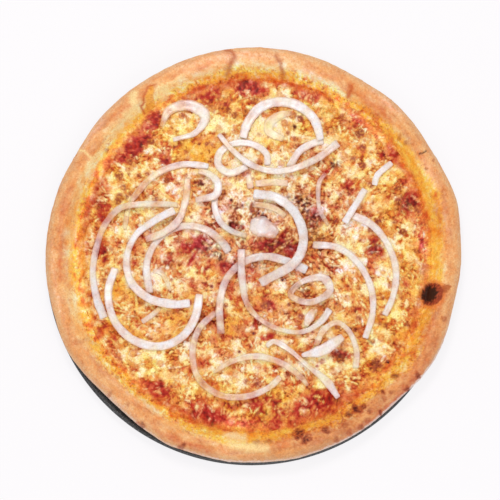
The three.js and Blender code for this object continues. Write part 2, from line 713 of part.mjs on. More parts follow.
function stripGeometry(stations, closed) {
  const sides = STRIP_SECTION.length;
  const count = stations.length;
  const points = stations.flatMap((s) =>
    STRIP_SECTION.map(([across, up]) => [
      s.x + s.sideX * s.half * across,
      s.y + s.sideY * s.half * across,
      s.z + s.thick * up,
    ]),
  );
  const at = (station, side) => (station % count) * sides + (side % sides);
  const triangles = [];
  for (let i = 0; i < (closed ? count : count - 1); i++) {
    for (let side = 0; side < sides; side++) {
      const a = at(i, side);
      const b = at(i, side + 1);
      const c = at(i + 1, side + 1);
      const d = at(i + 1, side);
      triangles.push([a, d, c], [a, c, b]);
    }
  }
  if (!closed) {
    for (let side = 1; side + 1 < sides; side++) {
      triangles.push([at(0, 0), at(0, side), at(0, side + 1)]);
      triangles.push([at(count - 1, 0), at(count - 1, side + 1), at(count - 1, side)]);
    }
  }
  return geometryOf(points, triangles);
}

// The whole
const MATERIALS = {
  plate: { color: 0x2b2c2e, roughness: 0.35 },
  crust: { color: 0xe3ac74, roughness: 0.75 },
  sauce: { color: 0xc0452f, roughness: 0.4 },
  cheese: { color: 0xf0cf86, roughness: 0.45 },
  onion: { color: 0xefe3e2, roughness: 0.35 },
};

function namedMesh(name, geometry, look) {
  const material = new THREE.MeshStandardMaterial({ ...MATERIALS[look], metalness: 0 });
  const mesh = new THREE.Mesh(geometry, material);
  mesh.name = name;
  return mesh;
}

const pizza = new THREE.Group();
pizza.position.set(PIZZA_SHIFT[0], PIZZA_SHIFT[1], 0);
const layers = { crust: crustGeometry(), sauce: sauceGeometry(), cheese: cheeseGeometry() };
const surface = new TopSurface(Math.ceil(PIZZA_RADIUS) + 6);
for (const [name, geometry] of Object.entries(layers)) {
  pizza.add(namedMesh(name, geometry, name));
  surface.addBody(geometry);
}
for (const onion of ONIONS) {
  const closed = onion.closed === true;
  const stations = stripStations(onion);
  layStrip(stations, closed, surface);
  pizza.add(namedMesh(onion.name, stripGeometry(stations, closed), "onion"));
}

const served = new THREE.Group();
served.add(namedMesh("plate", plateGeometry(), "plate"), pizza);
const box = new THREE.Box3().setFromObject(served);
served.position.set(-(box.min.x + box.max.x) / 2, -(box.min.y + box.max.y) / 2, -box.min.z);

const root = new THREE.Group();
root.add(served);
export default root;
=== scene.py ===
"""Looks of a baked onion pizza in its dark plate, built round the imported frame.

Shapes are worked out in millimetres from the pizza's centre and turned into metres in the row frame
when a piece is made. Colours are given as they look on a screen (0 to 255) and turned into linear ones.
"""
import math

import bpy
import numpy as np
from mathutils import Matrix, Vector
from mathutils.bvhtree import BVHTree


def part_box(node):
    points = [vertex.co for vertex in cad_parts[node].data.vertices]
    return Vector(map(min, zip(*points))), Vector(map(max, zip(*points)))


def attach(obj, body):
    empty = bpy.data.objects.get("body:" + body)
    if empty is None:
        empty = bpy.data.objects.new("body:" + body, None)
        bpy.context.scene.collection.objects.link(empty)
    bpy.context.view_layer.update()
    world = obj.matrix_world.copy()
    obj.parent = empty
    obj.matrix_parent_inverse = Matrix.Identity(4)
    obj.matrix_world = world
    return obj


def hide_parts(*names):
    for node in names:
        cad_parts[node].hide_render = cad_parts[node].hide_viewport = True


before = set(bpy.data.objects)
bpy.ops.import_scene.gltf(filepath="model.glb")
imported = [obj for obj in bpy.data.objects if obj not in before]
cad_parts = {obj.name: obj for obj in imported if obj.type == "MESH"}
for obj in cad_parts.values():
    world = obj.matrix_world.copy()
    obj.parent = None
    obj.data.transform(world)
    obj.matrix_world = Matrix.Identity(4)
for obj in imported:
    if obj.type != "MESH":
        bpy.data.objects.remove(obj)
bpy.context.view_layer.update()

# Driving dimensions, as in the part's source
MM = 0.001
GAP = 0.3
PLATE_RADIUS = 152.6
PLATE_WELL_RADIUS = 143.0
PLATE_WELL_HEIGHT = 6.5
PLATE_LIP_RISE = 4.0
PLATE_FOOT_RADIUS = 102.0
PIZZA_SHIFT = (2.2, 3.9)
PIZZA_RADIUS = 153.5
BASE_THICKNESS = 4.5
BASE_RADIUS = 131.0
RIM_HEIGHT = 17.0
RIM_CREST_INSET = 10.5
RIM_BULGE_HEIGHT = 8.0
RIM_UNDERCUT = 12.0
SAUCE_THICKNESS = 1.0
SAUCE_RADIUS = 133.5
CHEESE_RADIUS = 127.5

DOUGH_BOTTOM = PLATE_WELL_HEIGHT + GAP
BASE_TOP = DOUGH_BOTTOM + BASE_THICKNESS
SAUCE_BOTTOM = BASE_TOP + GAP
SAUCE_TOP = SAUCE_BOTTOM + SAUCE_THICKNESS

plate_low, plate_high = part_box("plate")
PLATE_CENTRE = 1000 * (plate_low + plate_high).xy / 2
PIZZA_CENTRE = np.array([PLATE_CENTRE.x + PIZZA_SHIFT[0], PLATE_CENTRE.y + PIZZA_SHIFT[1], 0.0])

# Places along the circle: (degrees anticlockwise from +X, how far out in mm, how wide in degrees)
CRUST_EDGE = [
    (15, 2.2, 8), (31, -0.5, 5), (45, 0.75, 8), (60, -0.9, 7), (90, 1.6, 26), (150, -1.3, 8),
    (187, 1.6, 16), (207, 2.2, 8), (227, -1.8, 9), (246, 1.5, 5), (262, 1.4, 11), (280, 1.0, 8),
    (312, -1.6, 9), (330, 1.5, 8), (346, -1.0, 6),
]
RIM_SWELLS = [
    (12, -1.0, 10), (30, 1.4, 10), (70, -1.2, 9), (108, 1.5, 11), (135, 0.8, 8), (172, 1.6, 15),
    (207, -0.9, 8), (238, 1.3, 13), (281, -0.8, 10), (308, -1.9, 12), (331, 1.2, 9),
]
CHEESE_EDGE = [
    (17, -9, 6), (36, -6, 5), (55, 1.5, 6), (71, -8, 5), (92, -10, 7), (108, -7, 5),
    (137, -11, 10), (165, -6, 6), (200, 2, 9), (232, -5, 5), (254, -9, 6), (279, -6, 5),
    (296, -9, 8), (325, 2, 8), (352, -5, 5),
]
# How oily the rim's inner slope is, and how brown its top, over the common level
RIM_OIL = [
    (18, 0.75, 20), (44, 0.35, 9), (60, -0.5, 6), (84, 0.3, 9), (98, 0.25, 6), (115, -0.15, 18),
    (146, -0.25, 14), (184, -0.6, 26), (228, 0.1, 12), (263, 0.85, 12), (290, 0.5, 14), (322, 0.6, 16),
    (352, 0.5, 10),
]
RIM_BROWN = [
    (88, -0.55, 26), (140, -0.1, 14), (165, 0.12, 10), (283, 0.75, 13), (306, 0.9, 16), (330, 0.3, 9),
]
# Browner and paler places of the rim and of the oily band inside it: degrees, mm from the middle, half
# breadth round and across, and how brown, or how pale where it is negative
RIM_SHADES = [
    (12, 138.5, 7, 6, 1.1), (24, 131, 9, 3, 1.2), (48, 140, 6, 3.5, 0.75), (84, 131, 17, 3.5, 1.5),
    (108, 129, 9, 4, 1.2), (132, 127, 8, 3, 0.85), (162, 127, 14, 3, 1.7), (182, 127, 8, 3, 0.9),
    (144, 127, 5, 3, 0.7), (36, 127, 7, 3, 0.7), (70, 130, 6, 4, 0.6), (198, 127, 10, 3, 0.7),
    (250, 127, 8, 3, 0.6), (9, 131, 7, 3, 0.4), (183, 141, 10, 4, 0.7), (133, 143.5, 7, 4, 0.45),
    (216, 127, 8, 3, 0.35), (240, 128.5, 10, 4, 1.0), (259, 132, 12, 2.4, 1.0), (276, 141, 7, 5, 0.8),
    (290, 138, 8, 5, 0.8), (302, 136, 9, 5, 0.5), (288, 146, 7, 3, -0.7), (310, 146, 8, 3, -0.6),
    (355, 125, 4, 4, 1.3), (282, 128, 5, 3, -0.5), (63, 134, 5, 3.5, -1.0), (314, 131, 6, 3, -0.8),
    (252, 150, 10, 2.4, 0.6), (296, 128.5, 20, 4, 1.2), (313, 150, 18, 2.8, 0.95),
    (336, 138.5, 8, 4.5, 0.95), (338, 128, 9, 4, 0.55), (324, 143, 10, 4, 0.3), (252, 149, 10, 2, 0.3),
    (168, 144.5, 7, 3.5, 0.4), (3, 125.5, 5, 4, -2.2), (264, 126.5, 6, 3, -2.9), (48, 127, 6, 3, -0.7),
    (120, 126.5, 5, 3, -0.6), (51, 127, 8, 3, -1.0), (120, 127, 5, 3, -1.0), (228, 127, 6, 3, -0.7),
    (92, 141, 18, 5.5, -0.6), (96, 148.5, 14, 3, -0.8), (120, 135, 8, 3, -1.2), (148, 132, 13, 4, -1.2),
    (188, 132, 18, 4, -1.4), (60, 134, 5, 3, -0.4), (72, 138, 9, 4.5, -1.1), (24, 139.5, 5, 6, -0.9),
    (108, 142, 8, 5, -0.5), (216, 137, 11, 4, -0.5), (236, 137, 10, 3, -0.9), (262, 141, 11, 4, -0.4),
    (48, 149, 5, 3, -1.0), (142, 149, 6, 3, -0.8), (192, 149, 16, 2.5, -0.6), (228, 149, 8, 2.5, -0.6),
    (264, 149, 7, 2.5, -0.8),
]
# Where the oily band is smooth and bright rather than flecked
OIL_CALM = [(4, 1.0, 16), (30, 0.9, 14), (140, 0.9, 20), (186, 0.6, 18), (262, 0.9, 18), (88, 0.4, 9)]
# Where oil lies glossy and golden: degrees, mm from the middle, half breadths in degrees and mm, strength
GLAZED = [
    (20, 135.5, 17, 2.8, 0.6), (267, 135.5, 12, 2.6, 0.7), (287, 134.8, 13, 2.4, 0.7),
    (312, 135, 13, 2.6, 0.45), (338, 135, 9, 2.6, 0.5), (0, 135, 6, 2.6, 0.4), (180, 127, 7, 2.2, 0.5),
]
BROWNER = np.array([0.82, 0.5, 0.5])
PALER = np.array([1.15, 1.25, 1.75])
# Where the inner slope is paler
RIM_PALE = [
    (62, 0.75, 6), (80, 0.35, 5), (97, 0.6, 7), (120, 0.7, 9), (146, 0.85, 13), (183, 0.8, 8),
    (197, 0.55, 5), (268, 0.9, 9), (352, 0.3, 5),
]


# Small maths
def smooth(t):
    """From 0 to 1 without corners, for t from 0 to 1."""
    s = np.clip(t, 0.0, 1.0)
    return s * s * (3 - 2 * s)


def apart(angle, at):
    """How many degrees lie between each angle and another, the short way round."""
    return np.abs((angle - at + 180) % 360 - 180)


def lobes(table, angle):
    """Sum of the swells in a table at each angle, in degrees."""
    total = np.zeros_like(angle)
    for at, out, wide in table:
        total += out * np.exp(-((apart(angle, at) / wide) ** 2))
    return total


def mix(a, b, share):
    """Between two colours, or two arrays of them, by a number or an array of shares."""
    a, b = np.asarray(a, float), np.asarray(b, float)
    return a + (b - a) * np.asarray(share, float)[..., None]


def screen(r, g, b):
    """A colour as seen on a screen, turned into a linear one."""
    c = np.array([r, g, b]) / 255
    return np.where(c <= 0.04045, c / 12.92, ((c + 0.055) / 1.055) ** 2.4)


# Noise
HASH_SIDES = 256
_rng = np.random.default_rng(7)
GRADIENTS = {}
for sides in (2, 3):
    towards = _rng.normal(size=(HASH_SIDES, sides))
    GRADIENTS[sides] = towards / np.linalg.norm(towards, axis=1, keepdims=True)


def lattice_key(cell, seed):
    """A repeatable number from 0 to 255 for each lattice point."""
    key = np.full(cell.shape[:-1], seed * 2654435761 % 4294967296, dtype=np.uint64)
    for axis, prime in zip(range(cell.shape[-1]), (374761393, 668265263, 2246822519)):
        key = (key ^ (cell[..., axis].astype(np.uint64) * np.uint64(prime))) & np.uint64(0xFFFFFFFF)
        key = (key * np.uint64(1274126177)) & np.uint64(0xFFFFFFFF)
        key = key ^ (key >> np.uint64(15))
    return (key & np.uint64(HASH_SIDES - 1)).astype(int)


def noise(points, size, seed):
    """Smooth noise from about -1 to 1 with lumps of the given size, at points along the last axis."""
    p = np.asarray(points, float) / size + 1000.0
    base = np.floor(p).astype(np.int64)
    part = p - base
    ease = part**3 * (part * (part * 6 - 15) + 10)
    sides = p.shape[-1]
    total = np.zeros(p.shape[:-1])
    for corner in np.ndindex(*(2,) * sides):
        step = np.array(corner)
        towards = GRADIENTS[sides][lattice_key(base + step, seed)]
        weight = np.prod(np.where(step == 1, ease, 1 - ease), axis=-1)
        total += weight * np.sum(towards * (part - step), axis=-1)
    return total * 1.6


def rough_noise(points, size, seed, layers=3, keep=0.5):
    """Noise with finer and finer layers."""
    total = 0.0
    for layer in range(layers):
        total = total + keep**layer * noise(points, size / 2**layer, seed + 17 * layer)
    return total / (2 - keep ** (layers - 1))


def edge_shaded(tone, place):
    """Makes the rim and the oily band browner, paler or glossy gold where the tables say."""
    x, y = place[..., 0], place[..., 1]
    flat = place[..., :2]
    angle = np.degrees(np.arctan2(y, x)) + 2.5 * noise(flat, 9, 311)
    radius = np.hypot(x, y) + 1.8 * noise(flat, 7, 312)
    shade = np.zeros_like(angle)
    for at, far, wide, deep, brown in RIM_SHADES:
        shade += brown * np.exp(-(apart(angle, at) / wide) ** 2 - ((radius - far) / deep) ** 2)
    shade = (shade * (1 + 0.6 * noise(flat, 2.4, 313)))[..., None]
    tone = np.clip(tone * np.where(shade > 0, BROWNER**shade, PALER**-shade), 0, 1)
    glaze = np.zeros_like(angle)
    for at, far, wide, deep, strength in GLAZED:
        away = (apart(angle, at) / wide) ** 4 + ((radius - far) / deep) ** 4
        glaze = np.maximum(glaze, strength * np.exp(-away))
    return mix(tone, OIL_GLAZE, glaze * (1 + 0.3 * noise(flat, 2.4, 314)))


# The part's own lumps, so that the fine surfaces follow its solids
def seeded_draws(seed):
    state = seed
    while True:
        state = (state * 1664525 + 1013904223) % 4294967296
        yield state / 4294967296


def lumpy_field(seed, breadth, waves=7):
    draw = seeded_draws(seed)
    parts = []
    for _ in range(waves):
        heading = next(draw) * 2 * math.pi
        number = math.pi / breadth * (0.75 + 0.5 * next(draw))
        phase = next(draw) * 2 * math.pi
        parts.append((number * math.cos(heading), number * math.sin(heading), phase))
    scale = math.sqrt(2 / waves) * 0.8
    return lambda x, y: scale * sum(np.sin(kx * x + ky * y + phase) for kx, ky, phase in parts)


rim_lumps = lumpy_field(11, 9)
rim_waves = lumpy_field(23, 26)
broad_lumps = lumpy_field(5, 15)


def distance_to_path(x, y, path):
    """Distance in mm to a line through points, and how far along it the nearest place is, 0 to 1."""
    best = np.full(np.shape(x), 1e9)
    share = np.zeros(np.shape(x))
    pairs = list(zip(path[:-1], path[1:]))
    for i, ((ax, ay), (bx, by)) in enumerate(pairs):
        dx, dy = bx - ax, by - ay
        t = np.clip(((x - ax) * dx + (y - ay) * dy) / (dx * dx + dy * dy), 0, 1)
        away = np.hypot(x - ax - t * dx, y - ay - t * dy)
        share = np.where(away < best, (i + t) / len(pairs), share)
        best = np.minimum(best, away)
    return best, share


# Materials
def shader_node(tree, kind, **values):
    """Adds a node and sets the inputs and properties that are named."""
    node = tree.nodes.new(kind)
    for key, value in values.items():
        name = key.replace("_", " ")
        if name in node.inputs:
            node.inputs[name].default_value = value
        else:
            setattr(node, key, value)
    return node


def new_material(name):
    material = bpy.data.materials.new(name)
    material.use_nodes = True
    tree = material.node_tree
    tree.nodes.clear()
    shader = tree.nodes.new("ShaderNodeBsdfPrincipled")
    output = tree.nodes.new("ShaderNodeOutputMaterial")
    tree.links.new(shader.outputs[0], output.inputs[0])
    return material, tree, shader


def noise_node(tree, size_mm, detail=4.0, roughness=0.6, distortion=0.0):
    """Noise in object space with features about size_mm across."""
    place = tree.nodes.new("ShaderNodeTexCoord")
    node = shader_node(
        tree, "ShaderNodeTexNoise",
        Scale=1.0 / (size_mm * MM), Detail=detail, Roughness=roughness, Distortion=distortion,
    )
    tree.links.new(place.outputs["Object"], node.inputs["Vector"])
    return node


def ramp_node(tree, source, stops):
    """A ramp of (place, grey or colour) stops over a node's first output."""
    node = tree.nodes.new("ShaderNodeValToRGB")
    stops = [(at, (v, v, v) if isinstance(v, float) else v) for at, v in stops]
    while len(node.color_ramp.elements) < len(stops):
        node.color_ramp.elements.new(0.5)
    for element, (at, colour) in zip(node.color_ramp.elements, stops):
        element.position = at
        element.color = (*colour, 1.0)
    tree.links.new(source, node.inputs["Fac"])
    return node


def blend_node(tree, way, first, second, share=1.0):
    """A colour Mix node; first, second and share are sockets, colours or a number."""
    node = tree.nodes.new("ShaderNodeMix")
    node.data_type = "RGBA"
    node.blend_type = way
    for index, value in ((0, share), (6, first), (7, second)):
        if isinstance(value, bpy.types.NodeSocket):
            tree.links.new(value, node.inputs[index])
        else:
            node.inputs[index].default_value = value if index == 0 else (*value, 1.0)
    return node.outputs[2]


def bump_node(tree, shader, height, distance_mm, strength=1.0):
    node = shader_node(tree, "ShaderNodeBump", Strength=strength, Distance=distance_mm * MM)
    tree.links.new(height, node.inputs["Height"])
    tree.links.new(node.outputs[0], shader.inputs["Normal"])


def tinted_material(name, grain_mm, grain_depth, rough, bump_mm, subsurface=0.0, reach=(1, 0.5, 0.3),
                    shine=0.5):
    """A material whose colour is the mesh's own tint under a fine grain, with a gloss that varies."""
    material, tree, shader = new_material(name)
    tint = shader_node(tree, "ShaderNodeAttribute", attribute_name="tint")
    grain = noise_node(tree, grain_mm, detail=2.0, roughness=0.6)
    deep = [1 - grain_depth * part for part in (0.6, 1.1, 1.4)]
    bright = [1 + grain_depth * part for part in (0.5, 0.9, 1.3)]
    shade = ramp_node(tree, grain.outputs[0], [(0.32, deep), (0.5, 1.0), (0.68, bright)])
    colour = blend_node(tree, "MULTIPLY", tint.outputs["Color"], shade.outputs[0])
    tree.links.new(colour, shader.inputs["Base Color"])
    gloss = noise_node(tree, 4.0, detail=2.0)
    spread = ramp_node(tree, gloss.outputs[0], [(0.35, rough[0]), (0.65, rough[1])])
    tree.links.new(spread.outputs[0], shader.inputs["Roughness"])
    bump_node(tree, shader, grain.outputs[0], bump_mm)
    shader.inputs["Specular IOR Level"].default_value = shine
    if subsurface:
        shader.inputs["Subsurface Weight"].default_value = subsurface
        shader.inputs["Subsurface Radius"].default_value = reach
        shader.inputs["Subsurface Scale"].default_value = 1.5 * MM
    return material


def plate_material():
    """Charcoal glaze with fine pale and dark speckles."""
    material, tree, shader = new_material("charcoal_glaze")
    speck = noise_node(tree, 1.3, detail=3.0, roughness=0.8)
    tones = ramp_node(
        tree, speck.outputs[0],
        [(0.3, (0.01, 0.01, 0.012)), (0.5, (0.042, 0.043, 0.046)), (0.6, (0.09, 0.092, 0.096)),
         (0.7, (0.24, 0.24, 0.24))],
    )
    tree.links.new(tones.outputs[0], shader.inputs["Base Color"])
    worn = noise_node(tree, 8.0, detail=3.0)
    gloss = ramp_node(tree, worn.outputs[0], [(0.3, 0.22), (0.7, 0.38)])
    tree.links.new(gloss.outputs[0], shader.inputs["Roughness"])
    bump_node(tree, shader, speck.outputs[0], 0.05)
    return material


# Meshes
def make_piece(name, points, faces, material, stands_for=(), tint=None):
    """Adds a mesh piece from points in mm about the pizza's centre, and ties it to the frame."""
    mesh = bpy.data.meshes.new(name)
    place = (np.asarray(points) + PIZZA_CENTRE) * MM
    mesh.from_pydata(place.tolist(), [], faces)
    if tint is not None:
        colours = np.ones((len(place), 4))
        colours[:, :3] = np.clip(tint, 0, 1)
        layer = mesh.attributes.new("tint", "FLOAT_COLOR", "POINT")
        layer.data.foreach_set("color", colours.ravel())
    mesh.shade_smooth()
    mesh.materials.append(material)
    piece = bpy.data.objects.new(name, mesh)
    bpy.context.scene.collection.objects.link(piece)
    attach(piece, "root")
    if stands_for:
        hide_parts(*stands_for)
    return piece


def ring_faces(rings, lines):
    """Faces of a closed body of rings with a first and a last centre point, facing out."""
    faces = []
    last = rings * lines + 1
    for line in range(lines):
        after = (line + 1) % lines
        faces.append((0, 1 + line, 1 + after))
        faces.append((1 + (rings - 1) * lines + line, last, 1 + (rings - 1) * lines + after))
    ring, line = np.divmod(np.arange((rings - 1) * lines), lines)
    after = (line + 1) % lines
    a = 1 + ring * lines + line
    b = 1 + (ring + 1) * lines + line
    c = 1 + (ring + 1) * lines + after
    d = 1 + ring * lines + after
    faces.extend(np.stack([a, b, c, d], axis=1).tolist())
    return faces


def lattice_disc(count):
    """Six-sided rings of points about a centre: ring number and angle of each, and the faces."""
    ring_of = [np.zeros(1)]
    angle_of = [np.zeros(1)]
    for ring in range(1, count + 1):
        ring_of.append(np.full(6 * ring, float(ring)))
        angle_of.append(np.arange(6 * ring) * 360.0 / (6 * ring))
    faces = []
    for ring in range(1, count + 1):
        outer_start = 1 + 3 * ring * (ring - 1)
        inner_start = 1 + 3 * (ring - 1) * (ring - 2) if ring > 1 else 0
        sector, i = np.divmod(np.arange(6 * ring), ring)
        out = sector * ring + i
        back = sector * (ring - 1) + i
        outer = outer_start + out % (6 * ring)
        outer_next = outer_start + (out + 1) % (6 * ring)
        inner_count = max(1, 6 * (ring - 1))
        inner = inner_start + back % inner_count
        inner_next = inner_start + (back + 1) % inner_count
        faces.append(np.stack([inner, outer, outer_next], axis=1))
        filled = i < ring - 1
        faces.append(np.stack([inner, outer_next, inner_next], axis=1)[filled])
    return np.concatenate(ring_of), np.concatenate(angle_of), np.concatenate(faces)


def closed_disc(count, radius_at, top_at, bottom):
    """A sheet on six-sided rings, with a wall down to a flat underside: points, faces, top count."""
    ring, angle, faces = lattice_disc(count)
    share = ring / count
    turn = np.radians(angle)
    radius = radius_at(angle) * share
    x, y = radius * np.cos(turn), radius * np.sin(turn)
    top = np.stack([x, y, top_at(x, y)], axis=1)
    edge = np.arange(len(top) - 6 * count, len(top))
    low = top[edge].copy()
    low[:, 2] = bottom
    points = np.concatenate([top, low, [[0, 0, bottom]]])
    after = np.roll(edge, -1)
    low_edge = len(top) + np.arange(6 * count)
    low_after = np.roll(low_edge, -1)
    centre = np.full(6 * count, len(points) - 1)
    faces = np.concatenate([
        faces,
        np.stack([edge, low_edge, low_after], axis=1),
        np.stack([edge, low_after, after], axis=1),
        np.stack([low_edge, centre, low_after], axis=1),
    ])
    return points, faces.tolist(), len(top)


# The plate
PLATE_LINES = 360


def plate_profile():
    """The plate's section from the middle of its underside to the middle of its well."""
    lip_top = PLATE_WELL_HEIGHT + PLATE_LIP_RISE
    return [
        (PLATE_FOOT_RADIUS - 5, 2.0), (PLATE_FOOT_RADIUS - 4, 1.6), (PLATE_FOOT_RADIUS - 3, 0.1),
        (PLATE_FOOT_RADIUS - 2.6, 0.0), (PLATE_FOOT_RADIUS + 2.6, 0.0), (PLATE_FOOT_RADIUS + 3.2, 0.15),
        (PLATE_FOOT_RADIUS + 4.6, 1.7), (PLATE_FOOT_RADIUS + 7, 2.6), (PLATE_RADIUS - 20, 3.9),
        (PLATE_RADIUS - 6, 4.8), (PLATE_RADIUS - 2.5, 6.2), (PLATE_RADIUS - 0.6, 8.0),
        (PLATE_RADIUS - 0.1, 8.7), (PLATE_RADIUS, lip_top - 1.2), (PLATE_RADIUS - 0.25, lip_top - 0.65),
        (PLATE_RADIUS - 0.8, lip_top - 0.2), (PLATE_RADIUS - 1.7, lip_top),
        (PLATE_RADIUS - 2.6, lip_top - 0.22), (PLATE_RADIUS - 3.6, lip_top - 0.85),
        (PLATE_RADIUS - 5.2, lip_top - 2.2), (PLATE_RADIUS - 7, PLATE_WELL_HEIGHT + 0.62),
        (PLATE_WELL_RADIUS, PLATE_WELL_HEIGHT), (PLATE_WELL_RADIUS - 8, PLATE_WELL_HEIGHT),
    ]


def add_plate():
    turn = np.radians(np.arange(PLATE_LINES) * 360 / PLATE_LINES)
    rings = plate_profile()
    points = [[0, 0, 2.0]]
    for radius, height in rings:
        ring = [radius * np.cos(-turn), radius * np.sin(-turn), np.full(PLATE_LINES, height)]
        points.extend(np.stack(ring, axis=1).tolist())
    points.append([0, 0, PLATE_WELL_HEIGHT])
    points = np.array(points) - [PIZZA_SHIFT[0], PIZZA_SHIFT[1], 0]
    faces = ring_faces(len(rings), PLATE_LINES)
    make_piece("plate_glazed", points, faces, plate_material(), ["plate"])


# The crust: lines round it, rings up its inner slope, over its shoulder and under its edge
CRUST_LINES = 1200
SLOPE_RINGS = 27
SHOULDER_RINGS = 22
TUCK_RINGS = 12

TAN = screen(236, 164, 100)
TAN_LIGHT = screen(246, 190, 130)
TAN_PINK = screen(226, 150, 106)
TAN_BROWN = screen(200, 128, 78)
OIL_GLAZE = screen(252, 184, 62)
EDGE_PALE = screen(226, 180, 134)
CREAM = screen(255, 226, 160)
GOLDEN = screen(252, 196, 116)
OIL_YELLOW = screen(255, 198, 78)
OIL_ORANGE = screen(232, 124, 56)
OIL_RED = screen(186, 62, 26)
SEAR_BROWN = screen(182, 80, 44)
SEAR_RED = screen(204, 98, 46)
SEAR_DARK = screen(88, 30, 26)
FRECKLE = screen(214, 126, 66)
GOLDEN_BROWN = screen(248, 176, 70)
CHAR = screen(58, 26, 14)
EMBER = screen(144, 58, 34)
FLOUR_CREAM = screen(255, 238, 190)
FLOUR = screen(236, 218, 200)
EDGE_WHITE = screen(240, 228, 224)
# Where the rim is freckled, and where a thin whitish line runs along its outer edge, round the circle
FRECKLED = [(300, 0.9, 38), (30, 0.5, 34), (250, 0.2, 20)]
WHITE_EDGED = [(230, 0.5, 16), (265, 0.6, 16), (300, 0.8, 18), (325, 0.7, 12)]

# Creases across the rim: path in mm, half width in mm, depth in mm, colour and its strength. The dark colours
# along the grooves are partly the dough's browning and partly painted shade in them.
CREASES = [
    ([(-21.4, 153), (-14.6, 148.6), (-15.4, 144), (-18.3, 139), (-20, 134.5)], 1.9, 1.6, SEAR_BROWN, 0.7),
    ([(17.2, 147.4), (19.6, 140.4), (22, 132.4)], 1.9, 1.4, SEAR_BROWN, 0.65),
    ([(71.5, 124.5), (71, 118)], 2.3, 0.8, SEAR_RED, 0.9),
    ([(-132.4, 78.4), (-126, 75.6), (-120.2, 71.2)], 1.0, -0.5, CREAM, 0.8),
    ([(-90, 118), (-89, 109), (-94, 102)], 3.4, -0.4, CREAM, 0.8),
    ([(-67, 122), (-67, 114), (-62, 109)], 3.4, -0.4, CREAM, 0.8),
    ([(-73.8, 125.5), (-79.5, 123), (-81.5, 117), (-84.5, 110), (-82, 105)], 1.0, 0.6, SEAR_RED, 0.9),
    ([(-135.6, -68.2), (-122.2, -63.8), (-110.4, -70.6), (-98.5, -75.8)], 1.6, 1.8, SEAR_BROWN, 0.3),
    ([(127, 75.6), (123.4, 73.2)], 0.5, 0.3, CHAR, 0.9),
    ([(62.5, -118), (65.5, -121.5), (64, -125)], 0.5, 0.5, SEAR_BROWN, 0.9),
    ([(-17, -141), (-4, -144), (8, -144.5)], 3.6, -0.4, CREAM, 0.8),
    ([(-20, -134), (-8, -136.5)], 2.6, -0.3, FLOUR_CREAM, 0.7),
]
# The dimple at the upper left, filled with browned oil: its line, and half its breadth at each end
DIMPLE = [(-76, 123.5), (-77.5, 115), (-77, 104)]
DIMPLE_HALF = (2.2, 6.0)
BUBBLE_TAIL = [(136, -29), (142.5, -26)]
# Bubbles in the dough: x, y, height, half breadth; the first one is burnt
BUBBLES = [
    (131.5, -30.5, 3.4, 8), (-52.5, -141, 1.2, 6), (-83, -126, 1.1, 6), (36, -135, 1.2, 6),
    (50, -131, 1.2, 6), (133, 69, 1.2, 7),
]
# Seared spots of the rim: x, y, half breadth, strength
SEARED = [
    (-52.5, -142.5, 3.0, 0.7), (-83, -127, 2.8, 0.6), (33, -133.5, 4.2, 0.93), (38, -137.5, 3.6, 0.93),
    (52.5, -131, 3.0, 0.85), (120.5, -91, 2.6, 0.85), (112.5, -100.8, 2.4, 0.8), (-92.5, -112, 2, 0.4),
    (93, -118.5, 2.0, 0.85), (104, -92, 2.6, 0.75), (95, -103, 2.0, 0.8), (80, -114, 2.0, 0.85),
    (78, -129, 2.8, 0.55), (70, -132.5, 2.4, 0.5), (60, -138, 2.4, 0.5), (84, -124, 1.8, 0.5),
    (-106, -104, 2.2, 0.4), (75, -115, 3.8, 0.93), (69.5, -119, 2.8, 0.8), (66, -127, 2.4, 0.5),
    (85, -117, 2.4, 0.6), (96, -108, 2.2, 0.6), (2, -140, 3.4, 0.5), (10, -139, 2.6, 0.5),
    (133, 68, 1.4, 0.5), (128, 62, 1.6, 0.5), (100, -103, 1.6, 0.6), (140, -49, 2.0, 0.5),
    (-110, 77, 2.0, 0.4), (-101, -93, 1.6, 0.4), (108, 86, 1.6, 0.4), (112, 82, 1.6, 0.4),
]


def clear_of_plate(x, y):
    """How high dough must stay over the plate's well and lip, as in the part's source."""
    radius = np.hypot(x + PIZZA_SHIFT[0], y + PIZZA_SHIFT[1])
    lip_top = PLATE_WELL_HEIGHT + PLATE_LIP_RISE
    start, crown = PLATE_WELL_RADIUS, PLATE_RADIUS - 3.4
    height = np.zeros_like(radius)
    for reach in (-2.5, 0, 2.5):
        share = np.clip((radius + reach - start) / (crown - start), 0, 1)
        level = PLATE_WELL_HEIGHT + (lip_top - PLATE_WELL_HEIGHT) * share**1.4
        height = np.maximum(height, np.where(radius + reach > PLATE_RADIUS, 0, level))
    return height + GAP


def slope_rise(share):
    """How the rim's inner slope rises from the base, 0, to the crest, 1."""
    return smooth(0.12 + 0.88 * share) - 0.04 * (1 - share)


